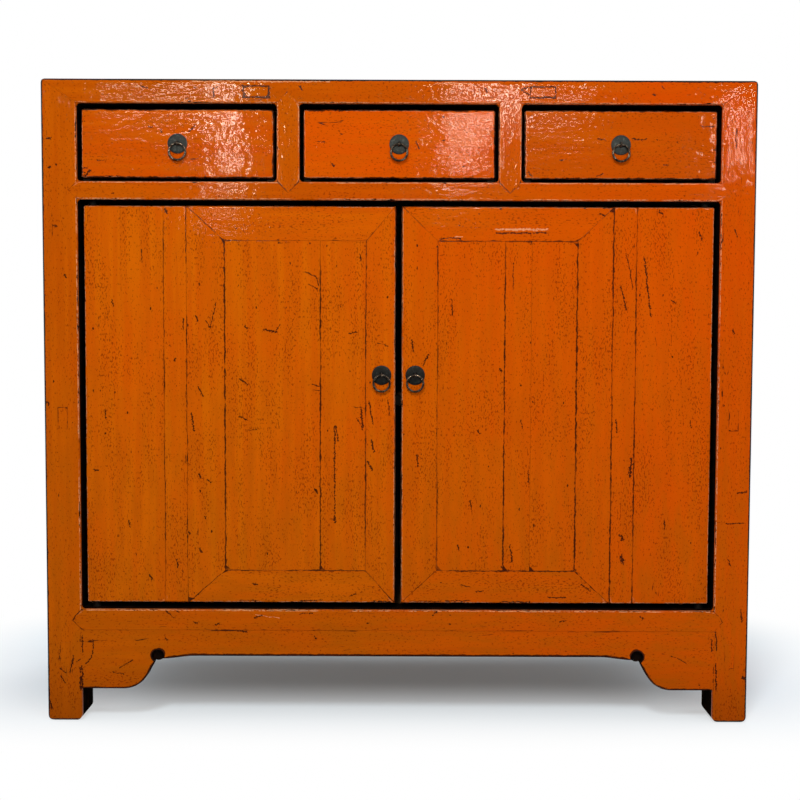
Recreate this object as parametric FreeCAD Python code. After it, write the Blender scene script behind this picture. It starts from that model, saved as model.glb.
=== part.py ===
import FreeCAD, Part
import math
import os

# Low cabinet with three drawers over two doors, flat on all sides.
# Frame: millimetres, +Z up, +X to the viewer's right, the front faces -Y.
# The origin is on the floor, in the middle of the plan.

# Overall size
width = 1000.0
depth = 420.0
height = 908.0
arris_round = 4.0
foot_round = 3.0

# Legs and rails
leg_width = 50.0
leg_depth = 62.0
top_rail_height = 34.0
middle_rail_height = 25.5
bottom_rail_height = 29.7
bottom_rail_level = 132.0
drawer_opening_height = 108.0
rail_depth = 45.0
divider_width = 32.0
divider_spacing = 310.0

# Joints of the frame
point_depth = 15.0
tenon_setback = 4.0
tenon_thickness = 12.0
tenon_length = 30.0
tenon_shoulder = 4.0
divider_tenon_length = 16.0
corner_tenon_shares = (0.35, 0.60, 0.75)
groove_depth = 7.0

# Apron
apron_height = 37.5
apron_thickness = 18.0
spandrel_width = 108.0
spandrel_drop = 47.5
spandrel_radius = 39.0
spandrel_angle = 62.0
notch_radius = 8.5
lip_drop = 4.0
lip_length = 45.0

# Top panel and its cross battens
top_panel_thickness = 13.0
top_tongue_thickness = 5.0
top_board_count = 3
batten_spacing = 400.0
batten_width = 36.0
batten_height = 24.0
batten_sink = 3.5
batten_tenon_height = 16.0

# Side rails and side panels
side_rail_width = 46.0
side_middle_rail_height = 36.0
side_middle_rail_level = 416.0
side_bottom_rail_height = 40.0
side_bottom_rail_level = 76.0
side_tenon_width = 14.0
side_tenon_shoulder = 2.5
side_tenon_inset = 26.5
side_panel_thickness = 10.0
side_panel_recess = 6.0
side_board_count = 2

# Back boards, floor and shelf
back_thickness = 10.0
back_recess = 8.0
back_board_count = 4
floor_thickness = 14.0
floor_drop = 5.0
floor_board_count = 3
shelf_thickness = 14.0
shelf_board_count = 3
shelf_door_clearance = 1.5
shelf_swing_clearance = 1.0

# Drawer runners and guides
runner_width = 30.0
runner_height = 18.0
runner_tenon_length = 8.0
runner_tenon_thickness = 8.0
guide_height = 28.0
guide_bearing = 16.0
guide_clearance = 0.8

# Drawers
drawer_recess = 8.0
drawer_front_thickness = 20.0
drawer_gap_side = 4.5
drawer_gap_top = 7.0
drawer_gap_bottom = 5.5
drawer_round = 2.5
drawer_rear_space = 20.0
drawer_run_clearance = 0.3
drawer_side_thickness = 11.0
drawer_side_height = 76.0
drawer_lap = 12.0
drawer_back_thickness = 11.0
drawer_back_drop = 6.0
drawer_bottom_thickness = 8.0
drawer_bottom_raise = 8.0
drawer_bottom_groove = 5.0

# Doors, measured from the meeting edge outwards; the two leaves differ a little
door_recess = 10.0
door_thickness = 22.0
door_round = 2.5
door_gap_side = 6.0
door_gap_top = 6.0
door_gap_bottom = 7.0
meeting_gap = 8.5
door_top_rail_height = 49.0
door_bottom_rail_height = 47.0
meeting_stile_width = {"left": 42.0, "right": 51.0}
door_panel_width = {"left": 199.5, "right": 197.0}
panel_stile_width = {"left": 54.0, "right": 50.5}
narrow_plank_width = {"left": 32.0, "right": 32.5}
panel_split_shares = {"left": (0.322,), "right": (0.482, 0.673)}
door_panel_thickness = 14.0
panel_tongue_thickness = 6.0
panel_tongue_setback = 4.0
panel_tongue_length = 6.0
door_batten_height = 40.0
door_batten_thickness = 14.0
door_batten_shares = (0.15, 0.85)
pivot_inset = 11.0
pivot_radius = 6.0
pivot_depth = 12.0
pivot_clearance = 0.08
pivot_end_clearance = 0.3

# Ring pulls
plate_radius = 13.9
plate_thickness = 1.5
plate_bevel = 0.5
ring_radius = 11.5
ring_wire = 3.2
ring_plate_clearance = 0.4
eye_wire = 1.8
eye_clearance = 0.5
pin_radius = 1.5
pin_clearance = 0.2
pin_foot_length = 20.0
pin_foot_thickness = 1.2
eye_pocket_depth = 1.0
door_pull_inset = 19.5
door_pull_share = 0.578

# Every cut that passes through a face runs past it by this much
overrun = 2.0

# Levels and faces that several pieces share
front_y = -depth / 2
rear_y = depth / 2
inner_x = width / 2 - leg_width
inner_y = depth / 2 - leg_depth
top_low = height - top_rail_height
middle_high = top_low - drawer_opening_height
middle_low = middle_high - middle_rail_height
bottom_high = bottom_rail_level + bottom_rail_height
rail_back_y = front_y + rail_depth
rear_rail_front_y = rear_y - rail_depth
side_panel_outer_x = width / 2 - side_panel_recess
side_panel_inner_x = side_panel_outer_x - side_panel_thickness
back_rear_y = rear_y - back_recess
back_front_y = back_rear_y - back_thickness
side_middle_high = side_middle_rail_level + side_middle_rail_height
side_bottom_high = side_bottom_rail_level + side_bottom_rail_height
door_front_y = front_y + door_recess
door_back_y = door_front_y + door_thickness
door_low = bottom_high + door_gap_bottom
door_high = middle_low - door_gap_top
door_outer = inner_x - door_gap_side - meeting_gap / 2
pivot_x = inner_x - door_gap_side - pivot_inset
pivot_y = (door_front_y + door_back_y) / 2

vector = FreeCAD.Vector
side_sign = {"left": -1, "right": 1}


# Shape helpers

def block(x_ends, y_ends, z_ends):
    """Box between three pairs of limits, given in either order."""
    low = vector(min(x_ends), min(y_ends), min(z_ends))
    high = vector(max(x_ends), max(y_ends), max(z_ends))
    size = high - low
    return Part.makeBox(size.x, size.y, size.z, low)


def prism(points, travel):
    """Closed polygon carried along a straight travel."""
    outline = Part.makePolygon(points + points[:1])
    return Part.Face(outline).extrude(travel)


def front_prism(points, y_low, y_high):
    """Outline given as (x, z) pairs, carried from one depth to another."""
    corners = [vector(x, y_low, z) for x, z in points]
    return prism(corners, vector(0, y_high - y_low, 0))


def pyramid(base, apex):
    """Pyramid on a four-cornered base."""
    outline = Part.makePolygon(base + base[:1])
    return Part.makeLoft([outline, Part.Vertex(apex)], True, True)


def joined(shapes):
    """One solid from touching or overlapping shapes."""
    whole = shapes[0].multiFuse(shapes[1:])
    return whole.removeSplitter()


def without(shape, cutters):
    """Shape with every cutter taken away."""
    return shape.cut(cutters) if cutters else shape


def strips(low, high, count):
    """Limits of equal strips between two places."""
    pitch = (high - low) / count
    return [(low + pitch * number, low + pitch * (number + 1)) for number in range(count)]


def save(node, shapes):
    """Write one sub-part, as one solid or as a group of separate solids."""
    solids = [solid for shape in shapes for solid in shape.Solids]
    whole = solids[0] if len(solids) == 1 else Part.makeCompound(solids)
    whole.exportStep(os.path.join("parts", node + ".step"))


# Outer form that rounds the arrises of the legs and the top frame

def outer_form():
    """Whole cabinet as one rounded block; its floor edges stay square."""
    body = block((-width / 2, width / 2), (front_y, rear_y), (0, height))
    rounded_edges = [edge for edge in body.Edges if edge.BoundBox.ZMax > top_low]
    return body.makeFillet(arris_round, rounded_edges)


def corner_points(x_sign, y_sign):
    """Inner and outer point of the three-way mitre at one top corner."""
    inner = vector(x_sign * inner_x, y_sign * inner_y, top_low)
    outer = vector(x_sign * width / 2, y_sign * depth / 2, height)
    return inner, outer


def corner_tenon(x_sign, y_sign):
    """Square tenon on a leg's head, inside the mitre."""
    inner, outer = corner_points(x_sign, y_sign)
    reach = outer - inner
    near, far, rise = corner_tenon_shares
    x_ends = (inner.x + reach.x * near, inner.x + reach.x * far)
    y_ends = (inner.y + reach.y * near, inner.y + reach.y * far)
    return block(x_ends, y_ends, (inner.z, inner.z + reach.z * rise))


def leg_blank(x_sign, y_sign, form):
    """Leg with its share of the mitre, its tenon and rounded foot, before mortises."""
    inner, outer = corner_points(x_sign, y_sign)
    post = block((inner.x, outer.x), (inner.y, outer.y), (0, top_low))
    plan = [(inner.x, inner.y), (outer.x, inner.y), (outer.x, outer.y), (inner.x, outer.y)]
    head = pyramid([vector(x, y, top_low) for x, y in plan], outer)
    leg = joined([post, head]).common(form)
    foot_edges = [edge for edge in leg.Edges if edge.BoundBox.ZMax < foot_round]
    leg = leg.makeFillet(foot_round, foot_edges)
    return joined([leg, corner_tenon(x_sign, y_sign)])


def long_top_rail(y_sign, form):
    """Front or rear top rail with mitred ends."""
    shapes = []
    for x_sign in (-1, 1):
        inner, outer = corner_points(x_sign, y_sign)
        section = [(inner.y, inner.z), (outer.y, inner.z), (outer.y, outer.z), (inner.y, outer.z)]
        shapes.append(pyramid([vector(inner.x, y, z) for y, z in section], outer))
    shapes.append(block((-inner_x, inner_x), (y_sign * inner_y, y_sign * depth / 2), (top_low, height)))
    rail = joined(shapes).common(form)
    return without(rail, [corner_tenon(x_sign, y_sign) for x_sign in (-1, 1)])


def short_top_rail(x_sign, form):
    """Side top rail with mitred ends."""
    shapes = []
    for y_sign in (-1, 1):
        inner, outer = corner_points(x_sign, y_sign)
        section = [(inner.x, inner.z), (outer.x, inner.z), (outer.x, outer.z), (inner.x, outer.z)]
        shapes.append(pyramid([vector(x, inner.y, z) for x, z in section], outer))
    shapes.append(block((x_sign * inner_x, x_sign * width / 2), (-inner_y, inner_y), (top_low, height)))
    rail = joined(shapes).common(form)
    return without(rail, [corner_tenon(x_sign, y_sign) for y_sign in (-1, 1)])


# Rails between the legs

def rail_tenons(y_near, z_low, z_high):
    """Stub tenons at both ends of a long rail."""
    z_ends = (z_low + tenon_shoulder, z_high - tenon_shoulder)
    y_ends = (y_near, y_near + tenon_thickness)
    return [block((sign * inner_x, sign * (inner_x + tenon_length)), y_ends, z_ends) for sign in (-1, 1)]


def front_rail(z_low, z_high):
    """Front rail whose face runs into the legs with square-pointed shoulders."""
    rise = (z_high - z_low) / 2
    shapes = [block((-inner_x, inner_x), (front_y, rail_back_y), (z_low, z_high))]
    for sign in (-1, 1):
        tip = [(sign * inner_x, z_low), (sign * inner_x, z_high), (sign * (inner_x + rise), z_low + rise)]
        shapes.append(front_prism(tip, front_y, front_y + point_depth))
    shapes += rail_tenons(front_y + point_depth + tenon_setback, z_low, z_high)
    return joined(shapes)


def rear_rail(z_low, z_high):
    """Rear rail with plain shoulders, as deep as the front one."""
    rail = block((-inner_x, inner_x), (rear_rail_front_y, rear_y), (z_low, z_high))
    return joined([rail] + rail_tenons(rear_rail_front_y + groove_depth + tenon_setback, z_low, z_high))


def divider(centre_x):
    """Post between two drawers with pointed shoulders into both rails."""
    rise = divider_width / 2
    x_ends = (centre_x - rise, centre_x + rise)
    post = block(x_ends, (front_y, rail_back_y), (middle_high, top_low))
    tip_up = [(x_ends[0], top_low), (x_ends[1], top_low), (centre_x, top_low + rise)]
    tip_down = [(x_ends[0], middle_high), (x_ends[1], middle_high), (centre_x, middle_high - rise)]
    tips = [front_prism(tip, front_y, front_y + point_depth) for tip in (tip_up, tip_down)]
    tenon_front = front_y + point_depth + tenon_setback
    tenon = block(
        (x_ends[0] + tenon_shoulder, x_ends[1] - tenon_shoulder),
        (tenon_front, tenon_front + tenon_thickness),
        (middle_high - divider_tenon_length, top_low + divider_tenon_length),
    )
    return joined([post, tenon] + tips)


def side_rail(x_sign, z_low, rail_height):
    """Side rail with tenons that pass right through both legs."""
    x_ends = (x_sign * width / 2, x_sign * (width / 2 - side_rail_width))
    rail = block(x_ends, (-inner_y, inner_y), (z_low, z_low + rail_height))
    centre_x = x_sign * (width / 2 - side_tenon_inset)
    tenon = block(
        (centre_x - side_tenon_width / 2, centre_x + side_tenon_width / 2),
        (front_y, rear_y),
        (z_low + side_tenon_shoulder, z_low + rail_height - side_tenon_shoulder),
    )
    return joined([rail, tenon])


# Apron with spandrels

def apron():
    """Board under the bottom rail, with a notched spandrel at each leg."""
    low = bottom_rail_level - apron_height
    foot = low - spandrel_drop
    turn = math.radians(spandrel_angle)
    notch_x = inner_x - spandrel_width
    arc_rise = spandrel_radius * (1 - math.cos(turn))
    flank_run = (spandrel_drop - arc_rise) / math.tan(turn)
    arc_x = notch_x + flank_run
    flat_x = arc_x + spandrel_radius * math.sin(turn)
    half_turn = turn / 2
    mid_x = flat_x - spandrel_radius * math.sin(half_turn)
    mid_z = foot + spandrel_radius * (1 - math.cos(half_turn))
    lip_x = notch_x - notch_radius

    def at(x, z):
        return vector(x, front_y, z)

    corners = [
        at(0, bottom_rail_level),
        at(0, low),
        at(lip_x - lip_length, low),
        at(lip_x, low - lip_drop),
        at(notch_x, low - lip_drop),
        at(notch_x, low),
        at(arc_x, foot + arc_rise),
    ]
    edges = [Part.makeLine(start, end) for start, end in zip(corners, corners[1:])]
    edges.append(Part.Arc(corners[-1], at(mid_x, mid_z), at(flat_x, foot)).toShape())
    last = [at(flat_x, foot), at(inner_x, foot), at(inner_x, bottom_rail_level), corners[0]]
    edges += [Part.makeLine(start, end) for start, end in zip(last, last[1:])]
    half = Part.Face(Part.Wire(edges)).extrude(vector(0, apron_thickness, 0))
    notch = Part.makeCylinder(
        notch_radius,
        apron_thickness + 2 * overrun,
        vector(notch_x, front_y - overrun, low),
        vector(0, 1, 0),
    )
    half = half.cut(notch)
    other = half.mirror(vector(0, 0, 0), vector(1, 0, 0))
    return joined([half, other])


# Panels and boards of the case

def tongued_board(x_ends, y_ends, z_ends, x_tongue, y_tongue, tongue_z):
    """Flat board with a tongue that reaches into grooves beyond the given edges."""
    body = block(x_ends, y_ends, z_ends)
    tongue_x = (min(x_ends) - x_tongue[0], max(x_ends) + x_tongue[1])
    tongue_y = (min(y_ends) - y_tongue[0], max(y_ends) + y_tongue[1])
    return joined([body, block(tongue_x, tongue_y, tongue_z)])


def top_battens():
    """Cross battens let into the top boards, tenoned through both long rails."""
    high = height - top_panel_thickness + batten_sink
    shapes = []
    for sign in (-1, 1):
        x_ends = (sign * batten_spacing / 2 - batten_width / 2, sign * batten_spacing / 2 + batten_width / 2)
        bar = block(x_ends, (-inner_y, inner_y), (high - batten_height, high))
        tenon = block(x_ends, (front_y, rear_y), (high - batten_tenon_height, high))
        shapes.append(joined([bar, tenon]))
    return shapes


def top_boards(battens):
    """Boards of the top, flush with its frame, tongued into the frame all round."""
    low = height - top_panel_thickness
    tongue_low = low + batten_sink
    tongue_z = (tongue_low, tongue_low + top_tongue_thickness)
    boards = []
    for number, (near, far) in enumerate(strips(-inner_y, inner_y, top_board_count)):
        reach_front = groove_depth if number == 0 else 0
        reach_rear = groove_depth if number == top_board_count - 1 else 0
        board = tongued_board(
            (-inner_x, inner_x),
            (near, far),
            (low, height),
            (groove_depth, groove_depth),
            (reach_front, reach_rear),
            tongue_z,
        )
        boards.append(without(board, battens))
    return boards


def side_panel_boards(x_sign):
    """Upright boards of one side, above and below its middle rail."""
    x_ends = (x_sign * side_panel_outer_x, x_sign * side_panel_inner_x)
    spans = (
        (side_bottom_high - groove_depth, side_middle_rail_level + groove_depth),
        (side_middle_high - groove_depth, top_low + groove_depth),
    )
    limits = strips(-inner_y - groove_depth, inner_y + groove_depth, side_board_count)
    return [block(x_ends, y_ends, z_ends) for z_ends in spans for y_ends in limits]


def back_boards():
    """Upright boards of the back, behind the drawers and behind the cupboard."""
    spans = (
        (bottom_high - groove_depth, middle_low + groove_depth),
        (middle_high - groove_depth, top_low + groove_depth),
    )
    limits = strips(-inner_x - groove_depth, inner_x + groove_depth, back_board_count)
    return [block(x_ends, (back_front_y, back_rear_y), z_ends) for z_ends in spans for x_ends in limits]


def leg_plans():
    """Plain posts where the legs stand, to notch boards around them."""
    return [
        block((x_sign * inner_x, x_sign * width / 2), (y_sign * inner_y, y_sign * depth / 2), (0, top_low))
        for x_sign in (-1, 1)
        for y_sign in (-1, 1)
    ]


def floor_boards():
    """Cupboard floor, housed in the front and rear bottom rails and notched round the legs."""
    high = bottom_high - floor_drop
    limits = strips(rail_back_y - groove_depth, rear_rail_front_y + groove_depth, floor_board_count)
    x_ends = (-side_panel_inner_x, side_panel_inner_x)
    boards = [block(x_ends, y_ends, (high - floor_thickness, high)) for y_ends in limits]
    return [without(board, leg_plans()) for board in boards]


def pivot_swings():
    """Round room that the outer edges of the doors sweep as they turn."""
    radius = math.hypot(pivot_inset, door_thickness / 2) + shelf_swing_clearance
    return [
        Part.makeCylinder(radius, door_high - door_low, vector(sign * pivot_x, pivot_y, door_low))
        for sign in (-1, 1)
    ]


def shelf_boards():
    """Shelf on the middle side rails; its front edge stops the doors, clear of their swing."""
    limits = strips(door_back_y + shelf_door_clearance, back_front_y, shelf_board_count)
    x_ends = (-side_panel_inner_x, side_panel_inner_x)
    z_ends = (side_middle_high, side_middle_high + shelf_thickness)
    boards = [block(x_ends, y_ends, z_ends) for y_ends in limits]
    return [without(board, leg_plans() + pivot_swings()) for board in boards]


# Drawer runners and guides

def runner(x_ends):
    """Bearer between the middle rails, flush with their tops."""
    low = middle_high - runner_height
    bar = block(x_ends, (rail_back_y, rear_rail_front_y), (low, middle_high))
    tenon_mid = middle_high - runner_height / 2
    tenon = block(
        x_ends,
        (rail_back_y - runner_tenon_length, rear_rail_front_y + runner_tenon_length),
        (tenon_mid - runner_tenon_thickness / 2, tenon_mid + runner_tenon_thickness / 2),
    )
    return joined([bar, tenon])


def runners_and_guides():
    """Runners at both sides and behind the dividers, with guide strips on them."""
    proud = drawer_gap_side - guide_clearance
    z_ends = (middle_high, middle_high + guide_height)
    runners = []
    guides = []
    for sign in (-1, 1):
        runners.append(runner((sign * inner_x, sign * (inner_x - runner_width))))
        outer_ends = (sign * (inner_x + guide_bearing), sign * (inner_x - proud))
        guides.append(block(outer_ends, (-inner_y, inner_y), z_ends))
        centre_x = sign * divider_spacing / 2
        reach = divider_width / 2 + runner_width / 2
        runners.append(runner((centre_x - reach, centre_x + reach)))
        half = divider_width / 2 + proud
        guides.append(block((centre_x - half, centre_x + half), (rail_back_y, rear_rail_front_y), z_ends))
    return runners, guides


# Ring pulls

def pull(x, z, face_y, back_y):
    """Plate, split pin and ring of one pull, and the cuts its wood needs."""
    eye_hole = ring_wire / 2 + eye_clearance
    eye_radius = eye_hole + eye_wire / 2
    eye_reach = eye_hole + eye_wire
    eye_y = face_y - plate_thickness - ring_plate_clearance - ring_wire / 2
    along_y = vector(0, 1, 0)

    plate = Part.makeCylinder(plate_radius, plate_thickness, vector(x, face_y - plate_thickness, z), along_y)
    front_edges = [edge for edge in plate.Edges if edge.BoundBox.YMax < face_y - plate_thickness / 2]
    plate = plate.makeChamfer(plate_bevel, front_edges)

    eye = Part.makeTorus(eye_radius, eye_wire / 2, vector(x, eye_y, z), vector(1, 0, 0))
    shank_y = eye_y + eye_radius
    foot_end = back_y + pin_foot_thickness
    shank = Part.makeCylinder(pin_radius, foot_end - shank_y, vector(x, shank_y, z), along_y)
    foot = block(
        (x - pin_radius, x + pin_radius),
        (back_y, foot_end),
        (z - pin_foot_length / 2, z + pin_foot_length / 2),
    )
    pin = joined([eye, shank, foot])

    hole_radius = pin_radius + pin_clearance
    hole_start = face_y - plate_thickness - overrun
    hole = Part.makeCylinder(hole_radius, back_y + overrun - hole_start, vector(x, hole_start, z), along_y)
    slot = block(
        (x - eye_wire / 2 - pin_clearance, x + eye_wire / 2 + pin_clearance),
        (hole_start, face_y + eye_pocket_depth),
        (z - eye_reach - pin_clearance, z + eye_reach + pin_clearance),
    )
    plate = without(plate, [hole, slot])
    ring = Part.makeTorus(ring_radius, ring_wire / 2, vector(x, eye_y, z - ring_radius), along_y)
    return plate, pin, ring, [hole, slot]


def save_pull(owner, plate, pin, ring):
    """Write one pull: the plate with its pin, and the ring that swings in the eye."""
    save(owner + "_pull_plate", [plate, pin])
    save(owner + "_pull_ring", [ring])


# Drawers

def drawer(owner, x_low, x_high):
    """Front, sides, back, bottom and pull of the drawer in one opening."""
    x_ends = (x_low + drawer_gap_side, x_high - drawer_gap_side)
    face_y = front_y + drawer_recess
    back_of_front = face_y + drawer_front_thickness
    end_y = rear_rail_front_y - drawer_rear_space
    low = middle_high + drawer_run_clearance
    z_front = (middle_high + drawer_gap_bottom, top_low - drawer_gap_top)
    front = block(x_ends, (face_y, back_of_front), z_front)
    front = front.makeFillet(drawer_round, front.Edges)

    side_y = (back_of_front - drawer_lap, end_y)
    side_z = (low, low + drawer_side_height)
    sides = [
        block((x_ends[0], x_ends[0] + drawer_side_thickness), side_y, side_z),
        block((x_ends[1] - drawer_side_thickness, x_ends[1]), side_y, side_z),
    ]
    inside_x = (x_ends[0] + drawer_side_thickness, x_ends[1] - drawer_side_thickness)
    bottom_low = low + drawer_bottom_raise
    bottom_high_level = bottom_low + drawer_bottom_thickness
    bottom = block(
        (inside_x[0] - drawer_bottom_groove, inside_x[1] + drawer_bottom_groove),
        (back_of_front - drawer_bottom_groove, end_y),
        (bottom_low, bottom_high_level),
    )
    back = block(
        inside_x,
        (end_y - drawer_back_thickness, end_y),
        (bottom_high_level, low + drawer_side_height - drawer_back_drop),
    )
    centre_z = (z_front[0] + z_front[1]) / 2
    plate, pin, ring, cuts = pull((x_low + x_high) / 2, centre_z, face_y, back_of_front)
    front = without(front, sides + [bottom] + cuts)
    sides = [without(side, [bottom]) for side in sides]

    save(owner + "_front", [front])
    save(owner + "_sides", sides)
    save(owner + "_back", [back])
    save(owner + "_bottom", [bottom])
    save_pull(owner, plate, pin, ring)


# Doors

def door(side):
    """One leaf: mitred frame with a boarded panel, two planks, battens, pivots and pull."""
    sign = side_sign[side]
    owner = "door_" + side

    def across(reach):
        return sign * (meeting_gap / 2 + reach)

    def member(points):
        return front_prism([(across(u), z) for u, z in points], door_front_y, door_back_y).common(leaf)

    leaf = block((across(0), across(door_outer)), (door_front_y, door_back_y), (door_low, door_high))
    leaf = leaf.makeFillet(door_round, leaf.Edges)
    panel_in = meeting_stile_width[side]
    panel_out = panel_in + door_panel_width[side]
    frame_out = panel_out + panel_stile_width[side]
    plank_out = frame_out + narrow_plank_width[side]
    panel_high = door_high - door_top_rail_height
    panel_low = door_low + door_bottom_rail_height

    boards = door_panel(side, across, (panel_in, panel_out), (panel_low, panel_high))
    meeting_stile = member([(0, door_low), (0, door_high), (panel_in, panel_high), (panel_in, panel_low)])
    panel_stile = member([
        (frame_out, door_low),
        (frame_out, door_high),
        (panel_out, panel_high),
        (panel_out, panel_low),
    ])
    rails = [
        member([(0, edge), (frame_out, edge), (panel_out, inner), (panel_in, inner)])
        for edge, inner in ((door_high, panel_high), (door_low, panel_low))
    ]
    narrow_plank = member(box_outline(frame_out, plank_out))
    wide_plank = joined([member(box_outline(plank_out, door_outer))] + door_pivots(side, 0, 0))

    pull_z = door_low + (door_high - door_low) * door_pull_share
    plate, pin, ring, cuts = pull(across(door_pull_inset), pull_z, door_front_y, door_back_y)
    save(owner + "_meeting_stile", [without(meeting_stile, boards + cuts)])
    save(owner + "_panel_stile", [without(panel_stile, boards)])
    save(owner + "_rails", [without(rail, boards) for rail in rails])
    save(owner + "_panel", boards)
    save(owner + "_planks", [narrow_plank, wide_plank])
    save(owner + "_battens", door_battens(across, panel_in))
    save_pull(owner, plate, pin, ring)


def box_outline(near, far):
    """Full-height outline of one plank of a door."""
    return [(near, door_low), (near, door_high), (far, door_high), (far, door_low)]


def door_panel(side, across, u_ends, z_ends):
    """Panel boards flush with the frame's face, tongued into it all round."""
    places = [0.0, *panel_split_shares[side], 1.0]
    span = u_ends[1] - u_ends[0]
    boards = []
    for near, far in zip(places, places[1:]):
        body_u = (u_ends[0] + span * near, u_ends[0] + span * far)
        inner_reach = panel_tongue_length if near == places[0] else 0
        outer_reach = panel_tongue_length if far == places[-1] else 0
        body = block(
            (across(body_u[0]), across(body_u[1])),
            (door_front_y, door_front_y + door_panel_thickness),
            z_ends,
        )
        tongue_y = door_front_y + panel_tongue_setback
        tongue = block(
            (across(body_u[0] - inner_reach), across(body_u[1] + outer_reach)),
            (tongue_y, tongue_y + panel_tongue_thickness),
            (z_ends[0] - panel_tongue_length, z_ends[1] + panel_tongue_length),
        )
        boards.append(joined([body, tongue]))
    return boards


def door_battens(across, start):
    """Battens across the back of a leaf, clear of its pivot edge."""
    u_ends = (start - panel_tongue_length, door_outer - pivot_inset - door_thickness)
    shapes = []
    for share in door_batten_shares:
        middle = door_low + (door_high - door_low) * share
        shapes.append(block(
            (across(u_ends[0]), across(u_ends[1])),
            (door_back_y, door_back_y + door_batten_thickness),
            (middle - door_batten_height / 2, middle + door_batten_height / 2),
        ))
    return shapes


def door_pivots(side, radial_room, end_room):
    """Turned pivots above and below a leaf, or with room added, their sockets."""
    x = side_sign[side] * pivot_x
    radius = pivot_radius + radial_room
    inside = door_round + overrun
    low_end = bottom_high - pivot_depth - end_room
    high_end = middle_low + pivot_depth + end_room
    spans = ((low_end, door_low + inside), (door_high - inside, high_end))
    return [Part.makeCylinder(radius, high - low, vector(x, pivot_y, low)) for low, high in spans]


# Assembly: what enters a piece is cut out of it

def build():
    """Make every sub-part and write it."""
    os.makedirs("parts", exist_ok=True)
    form = outer_form()
    battens = top_battens()
    boards = top_boards(battens)
    backs = back_boards()
    floors = floor_boards()
    runners, guides = runners_and_guides()
    dividers = {side: divider(sign * divider_spacing / 2) for side, sign in side_sign.items()}
    posts = list(dividers.values())
    panels = {side: side_panel_boards(sign) for side, sign in side_sign.items()}
    sockets = [
        socket
        for side in side_sign
        for socket in door_pivots(side, pivot_clearance, pivot_end_clearance)
    ]

    middle_front = without(front_rail(middle_low, middle_high), posts + runners + sockets)
    bottom_front = without(front_rail(bottom_rail_level, bottom_high), floors + sockets)
    middle_rear = without(rear_rail(middle_low, middle_high), runners + backs)
    bottom_rear = without(rear_rail(bottom_rail_level, bottom_high), floors + backs)
    long_rails = [middle_front, bottom_front, middle_rear, bottom_rear]

    save("top_rail_front", [without(long_top_rail(-1, form), battens + boards + posts)])
    save("top_rail_rear", [without(long_top_rail(1, form), battens + boards + backs)])
    for side, sign in side_sign.items():
        rails = [
            side_rail(sign, side_middle_rail_level, side_middle_rail_height),
            side_rail(sign, side_bottom_rail_level, side_bottom_rail_height),
        ]
        save("top_rail_" + side, [without(short_top_rail(sign, form), boards + panels[side])])
        save("side_rails_" + side, [without(rail, panels[side]) for rail in rails])
        save("side_panel_boards_" + side, panels[side])
        save("drawer_divider_" + side, [dividers[side]])
        for place, y_sign in (("front", -1), ("rear", 1)):
            leg = leg_blank(sign, y_sign, form)
            save("leg_" + place + "_" + side, [without(leg, long_rails + rails + panels[side] + backs)])

    save("middle_rail_front", [middle_front])
    save("bottom_rail_front", [bottom_front])
    save("rear_rails", [middle_rear, bottom_rear])
    save("apron_front", [apron()])
    save("top_boards", boards)
    save("top_battens", battens)
    save("back_boards", backs)
    save("floor_boards", floors)
    save("shelf_boards", shelf_boards())
    save("drawer_runners", runners)
    save("drawer_guides", guides)

    edge = divider_spacing / 2 + divider_width / 2
    inner_edge = divider_spacing / 2 - divider_width / 2
    drawer("drawer_left", -inner_x, -edge)
    drawer("drawer_middle", -inner_edge, inner_edge)
    drawer("drawer_right", edge, inner_x)
    for side in side_sign:
        door(side)


build()
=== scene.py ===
import functools
import math
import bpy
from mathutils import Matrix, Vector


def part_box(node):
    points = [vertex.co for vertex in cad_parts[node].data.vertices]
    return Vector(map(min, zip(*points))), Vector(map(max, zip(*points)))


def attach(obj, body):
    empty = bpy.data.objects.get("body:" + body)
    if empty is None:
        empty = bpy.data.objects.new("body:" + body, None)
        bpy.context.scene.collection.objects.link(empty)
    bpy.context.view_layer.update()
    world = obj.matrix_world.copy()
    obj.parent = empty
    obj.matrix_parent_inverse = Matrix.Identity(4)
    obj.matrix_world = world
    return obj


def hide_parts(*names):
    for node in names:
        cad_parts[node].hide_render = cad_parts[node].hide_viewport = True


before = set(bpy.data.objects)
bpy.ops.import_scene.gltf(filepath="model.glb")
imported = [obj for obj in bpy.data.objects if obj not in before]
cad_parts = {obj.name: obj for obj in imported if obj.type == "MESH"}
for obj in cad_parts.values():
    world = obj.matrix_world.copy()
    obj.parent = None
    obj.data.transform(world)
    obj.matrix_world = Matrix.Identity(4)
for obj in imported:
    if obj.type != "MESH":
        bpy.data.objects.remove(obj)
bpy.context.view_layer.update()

import zlib

import bpy
import numpy as np
from mathutils import Matrix, Vector

# Looks of a lacquered cabinet with three drawers over two doors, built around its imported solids.
# Frame: metres, +Z up, +X to the viewer's right, the front faces -Y.

mm = 0.001
axis_number = {"x": 0, "y": 1, "z": 2}
side_sign = {"left": -1, "right": 1}
facing = {"front": "-y", "rear": "+y", "left": "-x", "right": "+x"}
inward = {"left": "+x", "right": "-x"}

# Camera of the picture: a square picture with its focal length in picture pixels
picture_pixels = 800
focal_pixels = 1207.7
sensor_width = 36.0
camera_place = (2.4 * mm, -1910 * mm, 555.15 * mm)
camera_pitch = math.radians(3.1616)
camera_roll = math.radians(0.205)

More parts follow.
